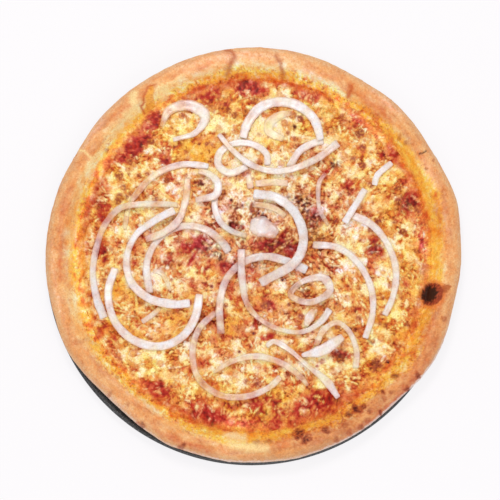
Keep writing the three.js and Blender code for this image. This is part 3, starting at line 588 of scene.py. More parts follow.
def crust_rings(angle):
    """The crust's edge along every direction, and each ring's radius, height and share of relief."""
    edge = PIZZA_RADIUS + lobes(CRUST_EDGE, angle)
    crest_height = DOUGH_BOTTOM + RIM_HEIGHT + lobes(RIM_SWELLS, angle)
    crest = edge - RIM_CREST_INSET
    bulge = DOUGH_BOTTOM + RIM_BULGE_HEIGHT
    flat = np.ones_like(angle)
    rings = []
    for share in np.linspace(0, 1, SLOPE_RINGS):
        height = BASE_TOP + (crest_height - BASE_TOP) * slope_rise(share)
        rings.append((BASE_RADIUS + (crest - BASE_RADIUS) * share, height, smooth(3 * share) * flat))
    for turn in np.radians(np.linspace(84, 0, SHOULDER_RINGS)):
        radius = crest + (edge - crest) * math.cos(turn)
        rings.append((radius, bulge + (crest_height - bulge) * math.sin(turn), flat))
    for turn in np.radians(np.linspace(8, 90, TUCK_RINGS)):
        radius = edge - RIM_UNDERCUT * (1 - math.cos(turn))
        rings.append((radius, (bulge - RIM_BULGE_HEIGHT * math.sin(turn)) * flat, 0.5 * flat))
    for inset in (0.5, 4.0, 9.0):
        rings.append((edge - RIM_UNDERCUT - inset, DOUGH_BOTTOM * flat, 0.0 * flat))
    radius, height, weight = (np.stack(column) for column in zip(*rings))
    return edge, radius, height, weight


def waver(x, y):
    """Places moved a little this way and that, so that drawn lines aren't straight."""
    place = np.stack([x, y], axis=-1)
    return x + 1.3 * noise(place, 5, 301), y + 1.3 * noise(place, 5, 302)


def crease_relief(x, y):
    total = np.zeros_like(x)
    for path, half, deep, _, _ in CREASES:
        away, share = distance_to_path(*waver(x, y), path)
        ends = smooth(6 * share + 0.25) * smooth(6 * (1 - share) + 0.25)
        total -= deep * ends * np.exp(-((away / half) ** 2))
    return total


def round_rim(place, angle, stretch):
    """Places measured round the rim, out from the middle and up, for streaks longer by the stretch."""
    out = np.hypot(place[..., 0], place[..., 1])
    return np.stack([np.radians(angle) * PIZZA_RADIUS / stretch, out, place[..., 2]], axis=-1)


def baked_tone(place, angle):
    """Dough baked to tan, mottled in streaks that run round the rim."""
    broad = rough_noise(place, 20, 3)
    streak = rough_noise(round_rim(place, angle, 2.6), 5, 5, 3, 0.65)
    fine = rough_noise(place, 2.2, 9, 3, 0.8)
    brown = lobes(RIM_BROWN, angle)
    light = smooth(0.5 + 0.55 * broad + 0.9 * streak + 0.6 * fine - 0.8 * brown - 0.2)
    tone = mix(TAN, TAN_LIGHT, 0.85 * light)
    tone = mix(tone, TAN_PINK, 0.6 * smooth(0.25 - 0.9 * streak + 0.5 * broad))
    toast = smooth(0.02 + 0.7 * brown - 0.75 * streak - 0.4 * broad + 0.55 * fine)
    return mix(tone, TAN_BROWN, 0.75 * toast), streak, fine, brown


def streaked(tone, place, angle, slope):
    """Turns the dough creamier and more orange by turns, most on its inner slope."""
    warm = noise(round_rim(place, angle, 1.8), 4.5, 321) + 0.5 * noise(place, 10, 322)
    fleck = noise(place, 2.0, 323) + 0.6 * noise(place, 1.2, 324)
    tone = tone.copy()
    tone[..., 1] *= np.exp((0.1 + 0.2 * slope) * warm + 0.14 * fleck)
    tone[..., 2] *= np.exp((0.2 + 0.45 * slope) * warm + 0.3 * fleck)
    return np.clip(tone, 0, 1)


def paint_marks(tone, x, y, fine):
    """Adds the seared spots and the creases."""
    wx, wy = waver(x, y)
    freckled = smooth((fine + 0.5 * noise(np.stack([x, y], axis=-1), 7, 231) - 0.45) / 0.3)
    tone = mix(tone, FRECKLE, 0.55 * freckled)
    ragged = 0.35 * fine + 0.4 * noise(np.stack([x, y], axis=-1), 3.4, 232)
    for sx, sy, size, strength in SEARED:
        away = np.hypot(wx - sx, wy - sy) / size + ragged
        tone = mix(tone, SEAR_BROWN, 0.9 * strength * smooth((1.25 - away) / 0.45))
        dark = smooth((0.95 - away) / 0.35) * smooth(0.65 + 1.2 * fine)
        tone = mix(tone, SEAR_DARK, 1.15 * strength**2 * dark)
    away, share = distance_to_path(wx, wy, DIMPLE)
    half = DIMPLE_HALF[0] + (DIMPLE_HALF[1] - DIMPLE_HALF[0]) * share
    golden = mix(GOLDEN_BROWN, SEAR_RED, 0.8 * smooth(0.1 - 1.2 * fine))
    tone = mix(tone, golden, 0.9 * smooth((half - away) / 1.6))
    # The creases' colours; the dark ones are partly browning and partly painted shade in the grooves.
    for path, half, _, colour, strength in CREASES:
        away, share = distance_to_path(wx, wy, path)
        tone = mix(tone, colour, strength * np.exp(-((away / (half * (1 + 0.4 * fine))) ** 2)))
    return tone


def burn_bubble(tone, x, y, fine):
    """The large burnt bubble, black in the middle with a red-brown rim."""
    bx, by, _, size = BUBBLES[0]
    out_x, out_y = bx / math.hypot(bx, by), by / math.hypot(bx, by)
    along = ((x - bx) * out_x + (y - by) * out_y) / (size * 0.98)
    across = (-(x - bx) * out_y + (y - by) * out_x) / (size * 1.12)
    away = np.hypot(along, across) + 0.1 * fine
    tone = mix(tone, OIL_ORANGE, 0.8 * smooth((1.45 - away) / 0.4))
    tail, _ = distance_to_path(x, y, BUBBLE_TAIL)
    tone = mix(tone, mix(EMBER, OIL_ORANGE, 0.3), 0.8 * smooth((3.4 - tail - 1.2 * fine) / 1.6))
    tone = mix(tone, mix(EMBER, SEAR_BROWN, smooth(0.3 + 1.2 * fine)), smooth((1.04 - away) / 0.14))
    burnt = np.hypot(along + 0.24, across) + 0.24 * fine
    return mix(tone, CHAR, smooth((0.84 - burnt) / 0.26))


def crust_tint(skin, x, y, inset, under, angle):
    """Colour of the crust at each point: inset is the distance from the edge, under 1 on the underside."""
    tone, streak, fine, brown = baked_tone(skin, angle)
    place = np.stack([x, y], axis=-1)
    drift = 2.6 * noise(place, 26, 221) + 2.0 * streak + 0.8 * fine
    tone = mix(tone, GOLDEN, 0.6 * smooth((inset - 11.5 + drift) / 5))
    pale = smooth((inset - 9.5 + drift) / 4) * np.clip(0.1 + lobes(RIM_PALE, angle), 0, 1)
    tone = mix(tone, CREAM, pale)
    tone = mix(tone, EDGE_PALE, 0.5 * smooth((6.5 - inset) / 5))
    reach = 17.0 - 5.0 * lobes(RIM_OIL, angle) + drift + 1.0 * fine
    tone = mix(tone, oil_tone(place), smooth((inset - reach + 3.0) / 4.5))
    tone = streaked(edge_shaded(tone, place), skin, angle, smooth((inset - 8) / 5))
    freckle = smooth((fine - 0.5 * streak + 0.3 * brown - 0.55) / 0.25)
    zone = smooth((inset - 5) / 6) * np.clip(0.05 + lobes(FRECKLED, angle), 0, 1)
    tone = mix(tone, SEAR_RED, 0.75 * freckle * zone)
    # A thin whitish line along the outer edge, round the bottom.
    white_edge = np.clip(lobes(WHITE_EDGED, angle), 0, 1) * smooth((1.5 - inset + 0.8 * fine) / 0.7)
    tone = mix(tone, EDGE_WHITE, 0.85 * white_edge)
    tone = burn_bubble(paint_marks(tone, x, y, fine), x, y, fine)
    return mix(tone, FLOUR, 0.6 * smooth(under * 1.4 - 0.1 + 0.3 * streak))


def skin_normals(skin):
    along = np.roll(skin, -1, axis=1) - np.roll(skin, 1, axis=1)
    normal = np.cross(np.gradient(skin, axis=0), along)
    return normal / (np.linalg.norm(normal, axis=-1, keepdims=True) + 1e-9)


def add_crust():
    angle = np.arange(CRUST_LINES) * 360 / CRUST_LINES
    edge, radius, height, weight = crust_rings(angle)
    turn = np.radians(angle)
    x, y = radius * np.cos(turn), radius * np.sin(turn)
    ring = np.arange(len(radius))[:, None] - (SLOPE_RINGS + SHOULDER_RINGS)
    lumps = 0.35 * rim_lumps(x, y) + 0.7 * rim_waves(x, y) + crease_relief(x, y)
    for bx, by, high, wide in BUBBLES:
        lumps += high * np.exp(-(((x - bx) ** 2 + (y - by) ** 2) / wide**2))
    height = height + weight * lumps * np.where(ring < 0, smooth((edge - radius) / 3.0), 0)
    height = np.where(ring < 0, height, np.maximum(height, clear_of_plate(x, y)))
    skin = np.stack([x, y, height], axis=-1)
    relief = 0.45 * rough_noise(skin, 5.5, 31, 3, 0.55) + 0.4 * noise(skin, 12, 37)
    relief += 0.55 * smooth((noise(skin, 7.5, 41) - 0.35) / 0.35)
    relief = relief * (1 - 0.5 * smooth((radius - edge + 5) / 4))
    skin = skin + skin_normals(skin) * (weight * relief)[..., None]
    side = smooth((RIM_BULGE_HEIGHT + 2.5 - (height - DOUGH_BOTTOM)) / 6) * (radius > edge - 6)
    under = np.maximum(np.clip((ring + 1) / 8, 0, 1), side)
    tint = crust_tint(skin, x, y, edge - radius, under, angle + 0 * x)
    points = np.concatenate([[[0, 0, BASE_TOP]], skin.reshape(-1, 3), [[0, 0, DOUGH_BOTTOM]]])
    colours = np.concatenate([[OIL_ORANGE], tint.reshape(-1, 3), [FLOUR]])
    material = tinted_material("baked_crust", 1.2, 0.15, (0.5, 0.8), 0.12, 0.06, (1, 0.6, 0.3), 0.2)
    faces = ring_faces(len(radius), CRUST_LINES)
    return make_piece("crust_baked", points, faces, material, ["crust"], colours)


# The toppings: a square raster of fields in mm, which the sauce and the cheese read
STEP = 0.4
HALF = 138.0
LUMP_COUNT = 4400
BLISTER_COUNT = 760
SAUCE_RINGS = 118
CHEESE_RINGS = 176
AXIS = np.arange(-HALF, HALF + STEP / 2, STEP)
GX, GY = np.meshgrid(AXIS, AXIS, indexing="xy")
GXY = np.stack([GX, GY], axis=-1)

# Places read from the photo: x, y, half length, half breadth, turn in degrees, strength
BARE_SAUCE = [
    (-94, 75.5, 9, 5, 38, 1.0), (-86, 83, 9, 6, 42, 0.9), (-75.5, 101, 8, 5.5, 70, 1.2),
    (-66, 73, 8, 4, 80, 0.9), (-36, 119, 14, 4, 12, 0.8), (-4, 125, 13, 6, 0, 0.8),
    (39, 119, 9, 4, -18, 0.65), (-113, 34, 19, 6, 80, 0.55), (-113.5, 1, 11, 4.5, 88, 0.75),
    (-45, 6, 12, 6, 6, 0.92), (-45, -4, 2, 8, -35, 0.9), (18, 5.5, 17, 6.4, -6, 0.92),
    (21, 12, 7, 2.6, 52, 0.95), (-11.5, 20.5, 6, 3, 0, 0.8), (71.5, 49, 7, 5.5, 30, 0.8),
    (90, 5, 9.5, 6.5, 80, 0.7), (102.5, 75.5, 6, 5, 0, 0.8), (116, 39, 11, 8, 70, 0.7),
    (-69.5, -102, 8, 6, -45, 0.8), (-36, -118.5, 14, 6, -16, 0.95), (17.5, -120.5, 11, 5.5, 85, 0.8),
    (45, -110, 18, 7, 22, 0.8), (9, -63, 3.5, 2.5, 0, 0.9), (1, -52, 3, 2.5, 0, 0.8),
    (10.5, -38.5, 4, 3.5, 0, 0.9), (66, -76, 7, 5, -30, 0.65), (43, 24, 13, 6, 82, 0.5),
    (-60, 58, 6, 4, 0, 0.45), (-118, -62, 8, 4, 60, 0.4), (55, 60, 8, 4, 30, 0.5), (20, 30, 12, 10, 0, 0.3),
    (75, 105, 9, 6, -40, 0.4), (-20, -10, 7, 5, 0, 0.5), (3, -110, 14, 7, 0, 0.6),
]
# Where the cheese lies thinner, and browner, than elsewhere
THIN = [
    (-103, 24, 10, 14, 0, 0.6), (44, -5, 10, 20, 0, 1.35), (58, 20, 7, 8, 0, 0.5),
    (-14, -13, 26, 10, 0, 1.65), (-27, -56, 12, 16, 20, 1.95), (2, -41, 18, 14, 0, 1.1),
    (26, -85, 11, 12, 0, 0.8), (-32, -102, 12, 11, 40, 0.7), (-38, -77, 8, 7, 0, 1.5),
    (-22, -110, 9, 7, 0, 1.45), (-38, 23, 7, 6, 0, 1.1), (-71, 5, 8, 8, 0, 0.9), (-5, -93, 8, 7, 0, 0.9),
    (-71, -93, 8, 7, 0, 0.9), (-6, -60, 8, 7, 0, 0.75), (-38, 71, 7, 6, 0, 1.25), (76, 67, 7, 9, 0, 0.9),
    (62, 55, 7, 7, 0, 1.0), (60, 38, 8, 7, 0, 0.6), (27, -109, 8, 7, 0, 0.7), (-22, -28, 8, 8, 0, 0.5),
    (-6, -77, 8, 7, 0, 0.3), (27, -28, 8, 7, 0, 0.4), (92, -19, 8, 14, 0, 0.4), (-100, -38, 14, 9, 0, 0.6),
    (-87, -77, 7, 7, 0, 0.3), (-38, 88, 8, 6, 0, 0.35), (43, -65, 9, 12, 0, 0.35),
    (108, 14, 8, 12, 0, 0.35), (-87, -44, 8, 7, 0, 0.6), (-104, -27, 7, 7, 0, 0.7),
    (-55, -93, 8, 7, 0, 0.6), (-71, -11, 8, 8, 0, 0.3), (-55, -60, 8, 8, 0, 0.95),
    (-55, -44, 8, 6, 0, 0.95), (60, -27, 8, 8, 0, 0.6), (-40, -28, 9, 9, 0, 0.7),
    (-100, 20, 14, 12, 0, 0.5), (80, -44, 14, 10, 0, 1.0), (76, -96, 10, 12, 0, 1.3),
    (-6, -125, 38, 6, 0, 0.9), (108, -55, 10, 10, 0, 0.3), (44, -124, 16, 6, 0, 0.7),
    (-70, -62, 9, 8, 40, 0.4), (-100, 0, 7, 10, 0, 0.3), (-55, 104, 7, 6, 0, 0.4), (-8, 104, 12, 8, 0, 0.4),
    (94, 36, 12, 12, 0, 0.8), (118, 20, 8, 20, 0, 0.4), (50, 68, 16, 9, -40, 0.5),
    (-55, 70, 26, 7, -6, 0.85), (-96, 54, 12, 7, 0, 0.6), (108, 55, 8, 7, 0, 0.8),
]
OILY = [
    (-43.5, 79, 16, 8, -8, 1.0), (-98.5, -28, 7, 6, 0, 0.8), (-57.5, -51, 12, 8, 30, 0.9),
    (-17, -49.5, 8, 5, 90, 0.8), (90, -98, 18, 10, 45, 0.9), (117.5, -61, 11, 8, 60, 0.9),
    (-84, 102, 6, 4, 50, 0.8), (100, 98, 12, 7, -50, 0.7), (60, 110, 12, 6, -30, 0.7),
    (20, -105, 18, 6, 0, 0.6), (-66, 33, 8, 5, 0, 0.5), (-94, -95, 10, 6, -45, 0.5),
    (78, 74, 10, 8, 0, 0.5), (40, 100, 12, 8, -30, 0.4),
]
PALE = [
    (68, 10, 9, 8, 0, 0.55), (101, -12.5, 20, 7, 92, 0.6), (-12, -86, 26, 9, 10, 0.5),
    (-73, -81, 22, 8, -25, 0.7), (-17.5, 98, 10, 9, 60, 0.6), (15, 44, 12, 26, 0, 0.9),
    (-100, 52, 9, 7, 0, 0.4), (86, 45, 7, 10, 0, 0.5), (14, 96, 14, 9, 0, 0.8), (-66, 34, 10, 9, 0, 0.8),
    (-16, 62, 13, 12, 0, 0.8), (-120, 48, 6, 8, 0, 0.6), (58, -76, 9, 14, 0, 0.9), (-22, -94, 9, 6, 0, 1.0),
    (-38, 57, 6, 5, 0, 0.4), (-5, 71, 8, 7, 0, 0.95), (60, -110, 7, 6, 0, 0.4), (-118, -24, 5, 8, 0, 0.6),
    (22, 118, 10, 5, 0, 0.7), (-38, 8, 6, 5, 0, 0.6), (-22, 23, 7, 7, 0, 0.5), (43, 38, 6, 6, 0, 0.35),
    (-86, 69, 6, 5, 0, 0.4), (-4, -11, 7, 6, 0, 0.45), (-72, -26, 26, 6, 0, 0.25), (92, -60, 8, 6, 0, 0.6),
    (27, -60, 7, 6, 0, 0.4),
]
# Where the cheese is rosy rather than golden
ROSY = [
    (-15, 10, 65, 46, 0, 1.0), (40, 40, 40, 34, 0, 0.7), (30, -60, 40, 40, 0, 0.5),
    (62, -60, 14, 18, 0, 0.5), (-70, 8, 26, 26, 0, 0.6), (-30, -80, 30, 16, 0, 0.3),
    (95, 22, 14, 22, 0, 0.3), (12, 113, 28, 16, 0, 0.3), (-114, -11, 12, 12, 0, 0.45),
    (62, 100, 14, 10, 0, 0.3), (90, 52, 12, 12, 0, 0.3),
]
# Dark baked spots: x, y, half breadth
DARK_SPOTS = [
    (-100.5, 58.5, 4.2), (-77, 84, 3.0), (-19, 107.5, 2.4), (79, 90, 4.2), (81, 80, 2.6), (34.5, 101, 2.6),
    (81, 66, 2.8), (107, 38.5, 3.6), (111, 16, 3.2), (92, 24, 2.8), (8.5, -38.5, 3.6), (64, -78, 3.6),
    (90, -81, 3.6), (-65, 55, 2.8), (122, 33, 3.2),
]
# Charred flakes on top of the cheese: x, y, half breadth
CHAR_FLECKS = [
    (-31.5, -24.5, 1.8), (-40, 53, 2.4), (-38, 51.5, 1.4), (-11, -73, 1.4), (26, -38, 1.6),
    (-0.5, -59.5, 1.4), (99, -80.5, 2.2), (57.5, 68, 1.5), (30.5, 95, 1.6), (45, 27, 2.2), (33.5, 39, 2.4),
    (36, 36, 1.6), (31, 41.5, 1.4), (8, 27.5, 2.0), (3, 30, 1.6), (-13, 34, 1.8), (-9, 36, 1.4),
    (-17, 40, 1.6), (12, 24, 1.4), (48, -11, 1.4), (21, -20, 1.5),
]
# Shreds of cheese across the bare sauce
SHREDS = [
    (20.3, 4.6, 6.5, 1.5, 38, 1.2), (26.5, 15, 4.5, 1.5, 60, 1.1), (13.5, 7, 3.6, 1.2, 10, 0.8),
    (9, 3, 3, 1.1, -50, 0.7), (30, 8.5, 3.4, 1.5, 60, 0.6), (-6, 6.5, 5, 1.8, -42, 1.0),
    (-35.5, 7, 4, 1.6, -35, 0.9), (-39, -3, 4.5, 6, 20, 0.9), (-50, 9, 3.4, 1.1, 20, 0.7),
    (-45, 2, 3, 1.0, 40, 0.8), (-24, -1, 3, 1.2, 70, 0.7), (74, 51, 3.4, 1.2, 40, 0.8),
    (68, 47, 2.6, 1.2, -30, 0.8), (117, 35, 6, 1.2, -48, 0.9), (30, -107, 4, 2.6, 40, 0.8),
    (20, -112, 3, 2.2, 0, 0.8), (92, 8, 2.6, 1.2, 60, 0.8),
]
# Where the sauce has baked nearly black, and where dark specks gather
DEEP_SAUCE = [(116, 38, 6, 4, 70, 0.5), (-116, 38, 9, 4, 76, 0.3)]
PEPPERED = [(25, 25, 40, 34, 0, 1.0), (-15, 30, 22, 20, 0, 0.8), (40, -20, 26, 24, 0, 0.6)]
SAUCE_BLACK = screen(92, 18, 24)
# Where cheese and sauce are charred in a mottled way
CHARRED = [
    (36, 38.5, 7.5, 5, -40, 1.0), (4.5, 27.5, 7, 4, -10, 1.0), (-14, 34.5, 4, 2.2, -10, 0.9),
    (-14.5, 19, 6, 5, 0, 0.9), (45, 27, 4, 4, 0, 1.0), (42, 22, 8, 13, 20, 0.6), (60, 67, 4, 3.4, 30, 0.9),
    (77, 91, 4.5, 6, 0, 0.35), (30.5, 95.5, 3.2, 2.2, 0, 1.0), (33, 103, 4, 3.4, 0, 0.5),
    (53, 107, 6, 2.4, -10, 0.5), (-26, -1, 4, 6, 30, 0.9), (-34, 4, 10, 7, 10, 0.6),
    (22, 7, 12, 5, -5, 0.45), (114, 38, 7, 4, 70, 0.8), (-20, 5, 5, 2.4, -50, 0.9), (46, 28, 3, 3, 0, 1.0),
    (41, 12, 3, 5, 0, 0.7), (-10, 12, 5, 3, -40, 0.6), (13, 6, 5, 3, 0, 0.9), (38, 33, 5, 4, -50, 0.9),
    (28, 42, 4, 2.4, 0, 0.7), (-17, 22, 3.4, 3, 0, 0.9), (90, 4, 6, 7, 0, 0.6),
    (-40, 52, 3.4, 2.4, 20, 0.9), (64, -76, 5, 5, 0, 0.8), (52, -38, 6, 5, 0, 0.4), (4, -8, 8, 5, 0, 0.5),
    (-64, -8, 6, 5, 0, 0.4), (36, -26, 10, 4, -20, 0.5), (-4, 36, 7, 3, 0, 0.5), (9, -118, 3.5, 3, 0, 0.7),
    (16, -110, 3.5, 3, 0, 0.7), (86, -64, 4, 4, 0, 0.6), (48, 10, 4, 8, 0, 0.5),
]
CHARRED_TONE = screen(98, 30, 24)
# What the toppings look like from bare sauce to thick cheese
MELT_TONES = [
    (-0.2, screen(76, 14, 10)), (0.0, screen(140, 28, 18)), (0.13, screen(178, 48, 30)),
    (0.26, screen(206, 84, 48)), (0.39, screen(228, 124, 68)), (0.52, screen(241, 166, 98)),
    (0.65, screen(250, 202, 132)), (0.79, screen(253, 228, 174)), (0.97, screen(255, 243, 218)),
]
# The same where sauce lies bare, with pinkish bits of cheese
SAUCE_TONES = [
    (-0.2, screen(96, 20, 14)), (0.0, screen(164, 32, 26)), (0.15, screen(190, 50, 40)),
    (0.3, screen(210, 90, 68)), (0.48, screen(236, 146, 110)), (0.66, screen(248, 196, 162)),
    (0.9, screen(254, 236, 214)),
]
MELT_SALMON = screen(222, 132, 104)
TOAST_GOLD = screen(238, 160, 84)
TOAST_BROWN = screen(200, 90, 56)
TOAST_RED = screen(170, 74, 66)
TOAST_DARK = screen(116, 34, 36)
SPECK_DARK = np.array([0.32, 0.12, 0.12])
SPECK_GOLD = np.array([0.78, 0.45, 0.24])


def patches(table, place):
    """The strongest of the soft-edged ellipses in a table, at each place."""
    field = np.zeros(place.shape[:-1])
    for x, y, long, wide, turn, strength in table:
        c, s = math.cos(math.radians(turn)), math.sin(math.radians(turn))
        dx, dy = place[..., 0] - x, place[..., 1] - y
        away = ((dx * c + dy * s) / long) ** 2 + ((-dx * s + dy * c) / wide) ** 2
        field = np.maximum(field, strength * np.exp(-0.8 * away**1.3))
    return field


def read_raster(field, x, y):
    """A raster's value between its cells."""
    column = np.clip((x + HALF) / STEP, 0, field.shape[1] - 1.001)
    row = np.clip((y + HALF) / STEP, 0, field.shape[0] - 1.001)
    c, r = column.astype(int), row.astype(int)
    u, v = column - c, row - r
    if field.ndim == 3:
        u, v = u[..., None], v[..., None]
    near = field[r, c] * (1 - u) + field[r, c + 1] * u
    far = field[r + 1, c] * (1 - u) + field[r + 1, c + 1] * u
    return near * (1 - v) + far * v


def ramp(value, stops):
    """The colour of each value on a ramp."""
    colour = np.zeros(value.shape + (3,)) + stops[0][1]
    for (low, _), (high, to) in zip(stops[:-1], stops[1:]):
        colour = mix(colour, to, smooth((value - low) / (high - low)))
    return colour


def blurred(field, cells):
    """A raster averaged over a square of cells, twice."""
    for _ in range(2):
        for axis in (0, 1):
            total = np.cumsum(field, axis=axis)
            ahead = np.roll(total, -cells, axis=axis)
            behind = np.roll(total, cells, axis=axis)
            field = (ahead - behind) / (2 * cells)
    return field


def oil_tone(place):
    """Oil-soaked dough and cheese round the toppings: golden with orange and brown bits."""
    blot = rough_noise(place, 8, 201, 3, 0.7)
    bit = rough_noise(place, 2.2, 211, 2, 0.7)
    radius = np.hypot(place[..., 0], place[..., 1])
    angle = np.degrees(np.arctan2(place[..., 1], place[..., 0]))
    calm = np.clip(lobes(OIL_CALM, angle), 0, 1) * smooth((radius - 126) / 4)
    bit = bit * (1 - 0.6 * calm)
    blot = blot * (1 - 0.3 * calm) - 0.1 * calm
    inward = np.clip((134 - radius) / 9, -0.25, 0.8)
    tone = mix(OIL_YELLOW, OIL_ORANGE, smooth(0.26 + 1.2 * blot + 0.4 * bit + inward))
    tone = mix(tone, CREAM, 0.6 * smooth((bit - 0.5 * blot - 0.5 * inward - 0.1) / 0.4))
    tone = mix(tone, OIL_RED, 0.75 * smooth((0.4 * blot - bit + 0.5 * inward - 0.35) / 0.3))
    return mix(tone, SEAR_BROWN, 0.7 * (1 - calm) * smooth((-bit + 0.3 * blot - 0.38) / 0.22))


class Toppings:
    """Raster fields: how thickly cheese lies over the sauce, its lumps and toasting, and the colour."""

    def __init__(self):
        self.rng = np.random.default_rng(2024)
        self.radius = np.hypot(GX, GY)
        bend = 3.2 * np.stack([noise(GXY, 9, 61), noise(GXY, 9, 62)], axis=-1)
        bend += 1.1 * np.stack([noise(GXY, 3.2, 66), noise(GXY, 3.2, 67)], axis=-1)
        place = GXY + bend
        self.melt = rough_noise(place, 13, 63, 4, 0.6)
        self.grain = rough_noise(GXY, 1.8, 65, 2, 0.7)
        self.frill = rough_noise(GXY, 2.8, 70, 2, 0.7)
        self.cloud = rough_noise(GXY, 26, 68, 2)
        self.bare = patches(BARE_SAUCE, place)
        self.oily = patches(OILY, place)
        self.pale = patches(PALE, place)
        self.dome = np.zeros_like(GX)
        self.tone = np.zeros_like(GX)
        self.seam = np.zeros_like(GX)
        self.spread_lumps()
        outward = smooth((self.radius - 106) / 18)
        pool = noise(GXY, 11, 121) + 0.4 * noise(GXY, 5, 122) + 0.35 * self.pale + 0.5 * self.oily
        pool = smooth(pool / 0.3)
        self.thick = 0.78 + 0.5 * self.melt + 0.05 * self.grain + 0.28 * self.pale + 0.06 * pool
        self.thick += 0.01 * smooth((self.radius - 40) / 50)
        self.thick += (0.54 - 0.3 * pool) * self.tone - (0.37 - 0.25 * pool) * self.seam
        self.thick += 0.12 * (self.dome - 0.4) - 0.12 * self.oily - 0.1 * outward
        self.thick -= 0.2 * patches(THIN, place) + 0.03 * smooth(-GY / 60)
        piece = smooth((self.tone - 0.05) / 0.14) * (1 - self.seam)
        piece *= 1 - 0.8 * smooth((self.bare - 0.87) / 0.2)
        bits = 0.03 + 0.55 * rough_noise(GXY, 3.2, 69, 3, 0.6) + 0.2 * self.melt + 0.55 * piece
        self.thick += (bits - self.thick) * smooth(1.25 * self.bare)
        shred = smooth(2.2 * patches(SHREDS, GXY + 0.2 * bend) - 0.4)
        self.thick += (0.58 + 0.3 * self.grain - self.thick) * shred
        self.bare = self.bare * (1 - 0.9 * shred)
        self.dome = np.maximum(self.dome, 0.8 * shred)
        self.gold = np.zeros_like(GX)
        self.ring = np.zeros_like(GX)
        self.char = np.zeros_like(GX)
        self.blister = np.zeros_like(GX)
        self.bake()
        self.bed_level = np.full_like(GX, -100.0)
        self.bed_share = np.zeros_like(GX)
        self.paint()

    def window(self, x, y, reach):
        """The cells within reach of a place, and how far they lie from it."""
        cells = int(reach / STEP) + 1
        column, row = int((x + HALF) / STEP), int((y + HALF) / STEP)
        rows = slice(max(0, row - cells), row + cells + 1)
        part = rows, slice(max(0, column - cells), column + cells + 1)
        return part, GX[part] - x, GY[part] - y

    def spread_lumps(self):
        """Melted lumps and shreds of cheese, drawn over each other, with seams between them."""
        radii = (CHEESE_RADIUS + 4) * np.sqrt(self.rng.random(LUMP_COUNT))
        turns = 2 * math.pi * self.rng.random(LUMP_COUNT)
        for radius, turn in zip(radii, turns):
            draw = self.rng.random(6)
            shred = draw[0] < 0.3
            long = 3.0 + 5.0 * draw[1] if shred else 1.5 + 3.4 * draw[1] ** 1.5
            wide = 0.9 + 0.6 * draw[2] if shred else long * (0.5 + 0.4 * draw[2])
            place = radius * math.cos(turn), radius * math.sin(turn)
            self.lay_lump(place, long, wide, 6.3 * draw[3], draw[5] - 0.5, 0.45 + 0.55 * draw[4])

    def lay_lump(self, place, long, wide, turn, tone, high):
        """One lump of cheese, over what lies there already."""
        part, dx, dy = self.window(place[0], place[1], long * 1.4)
        c, s = math.cos(turn), math.sin(turn)
        away = np.sqrt(((dx * c + dy * s) / long) ** 2 + ((-dx * s + dy * c) / wide) ** 2)
        away = away + 0.35 * self.melt[part] + 0.45 * self.frill[part]
        cover = smooth((1.0 - away) * wide / 0.5)
        seam = smooth((1.0 - away) * wide / 0.7 + 0.9)
        self.seam[part] = np.maximum(self.seam[part] * (1 - seam), seam - cover)
        self.tone[part] += (tone - self.tone[part]) * cover
        dome = high * np.sqrt(np.clip(1 - away**2, 0, 1))
        self.dome[part] = np.maximum(self.dome[part] * (1 - 0.5 * cover), dome)

    def bake(self):
        """Toasted blisters: golden, with a browner ring, and dark in the named spots."""
        spots = [(x, y, size, 1.0, 0.68) for x, y, size in DARK_SPOTS]
        spots += [(x, y, 0.9 * size, 0.9, 1.0) for x, y, size in CHAR_FLECKS]
        for _ in range(BLISTER_COUNT):
            radius, turn = (CHEESE_RADIUS + 1) * math.sqrt(self.rng.random()), 2 * math.pi * self.rng.random()
            draw = self.rng.random(3)
            spot = (radius * math.cos(turn), radius * math.sin(turn), 1.2 + 2.0 * draw[0] ** 1.4,
                    0.45 + 0.55 * draw[1], 0.6 * draw[2] ** 3)
            if read_raster(self.thick, np.array(spot[0]), np.array(spot[1])) > 0.3:
                spots.append(spot)
        for x, y, size, strength, burnt in spots:
            part, dx, dy = self.window(x, y, 2.2 * size)
            away = np.hypot(dx, dy) / size * (1 + 0.4 * self.melt[part]) + 0.14 * self.grain[part]
            inside = smooth((0.95 - away) * size / 0.6)
            self.gold[part] = np.maximum(self.gold[part], strength * inside)
            ring = np.exp(-(((away - 0.85) * size / 0.5) ** 2))
            self.ring[part] = np.maximum(self.ring[part], strength * (0.6 + 0.4 * burnt) * ring)
            dark = burnt * smooth((1.0 - away) / 0.4) * smooth(0.7 + 1.1 * self.grain[part])
            self.char[part] = np.maximum(self.char[part], dark)
            bump = np.sqrt(np.clip(1 - away**2, 0, 1)) * min(1.0, 0.4 * size)
            self.blister[part] = np.maximum(self.blister[part], bump)

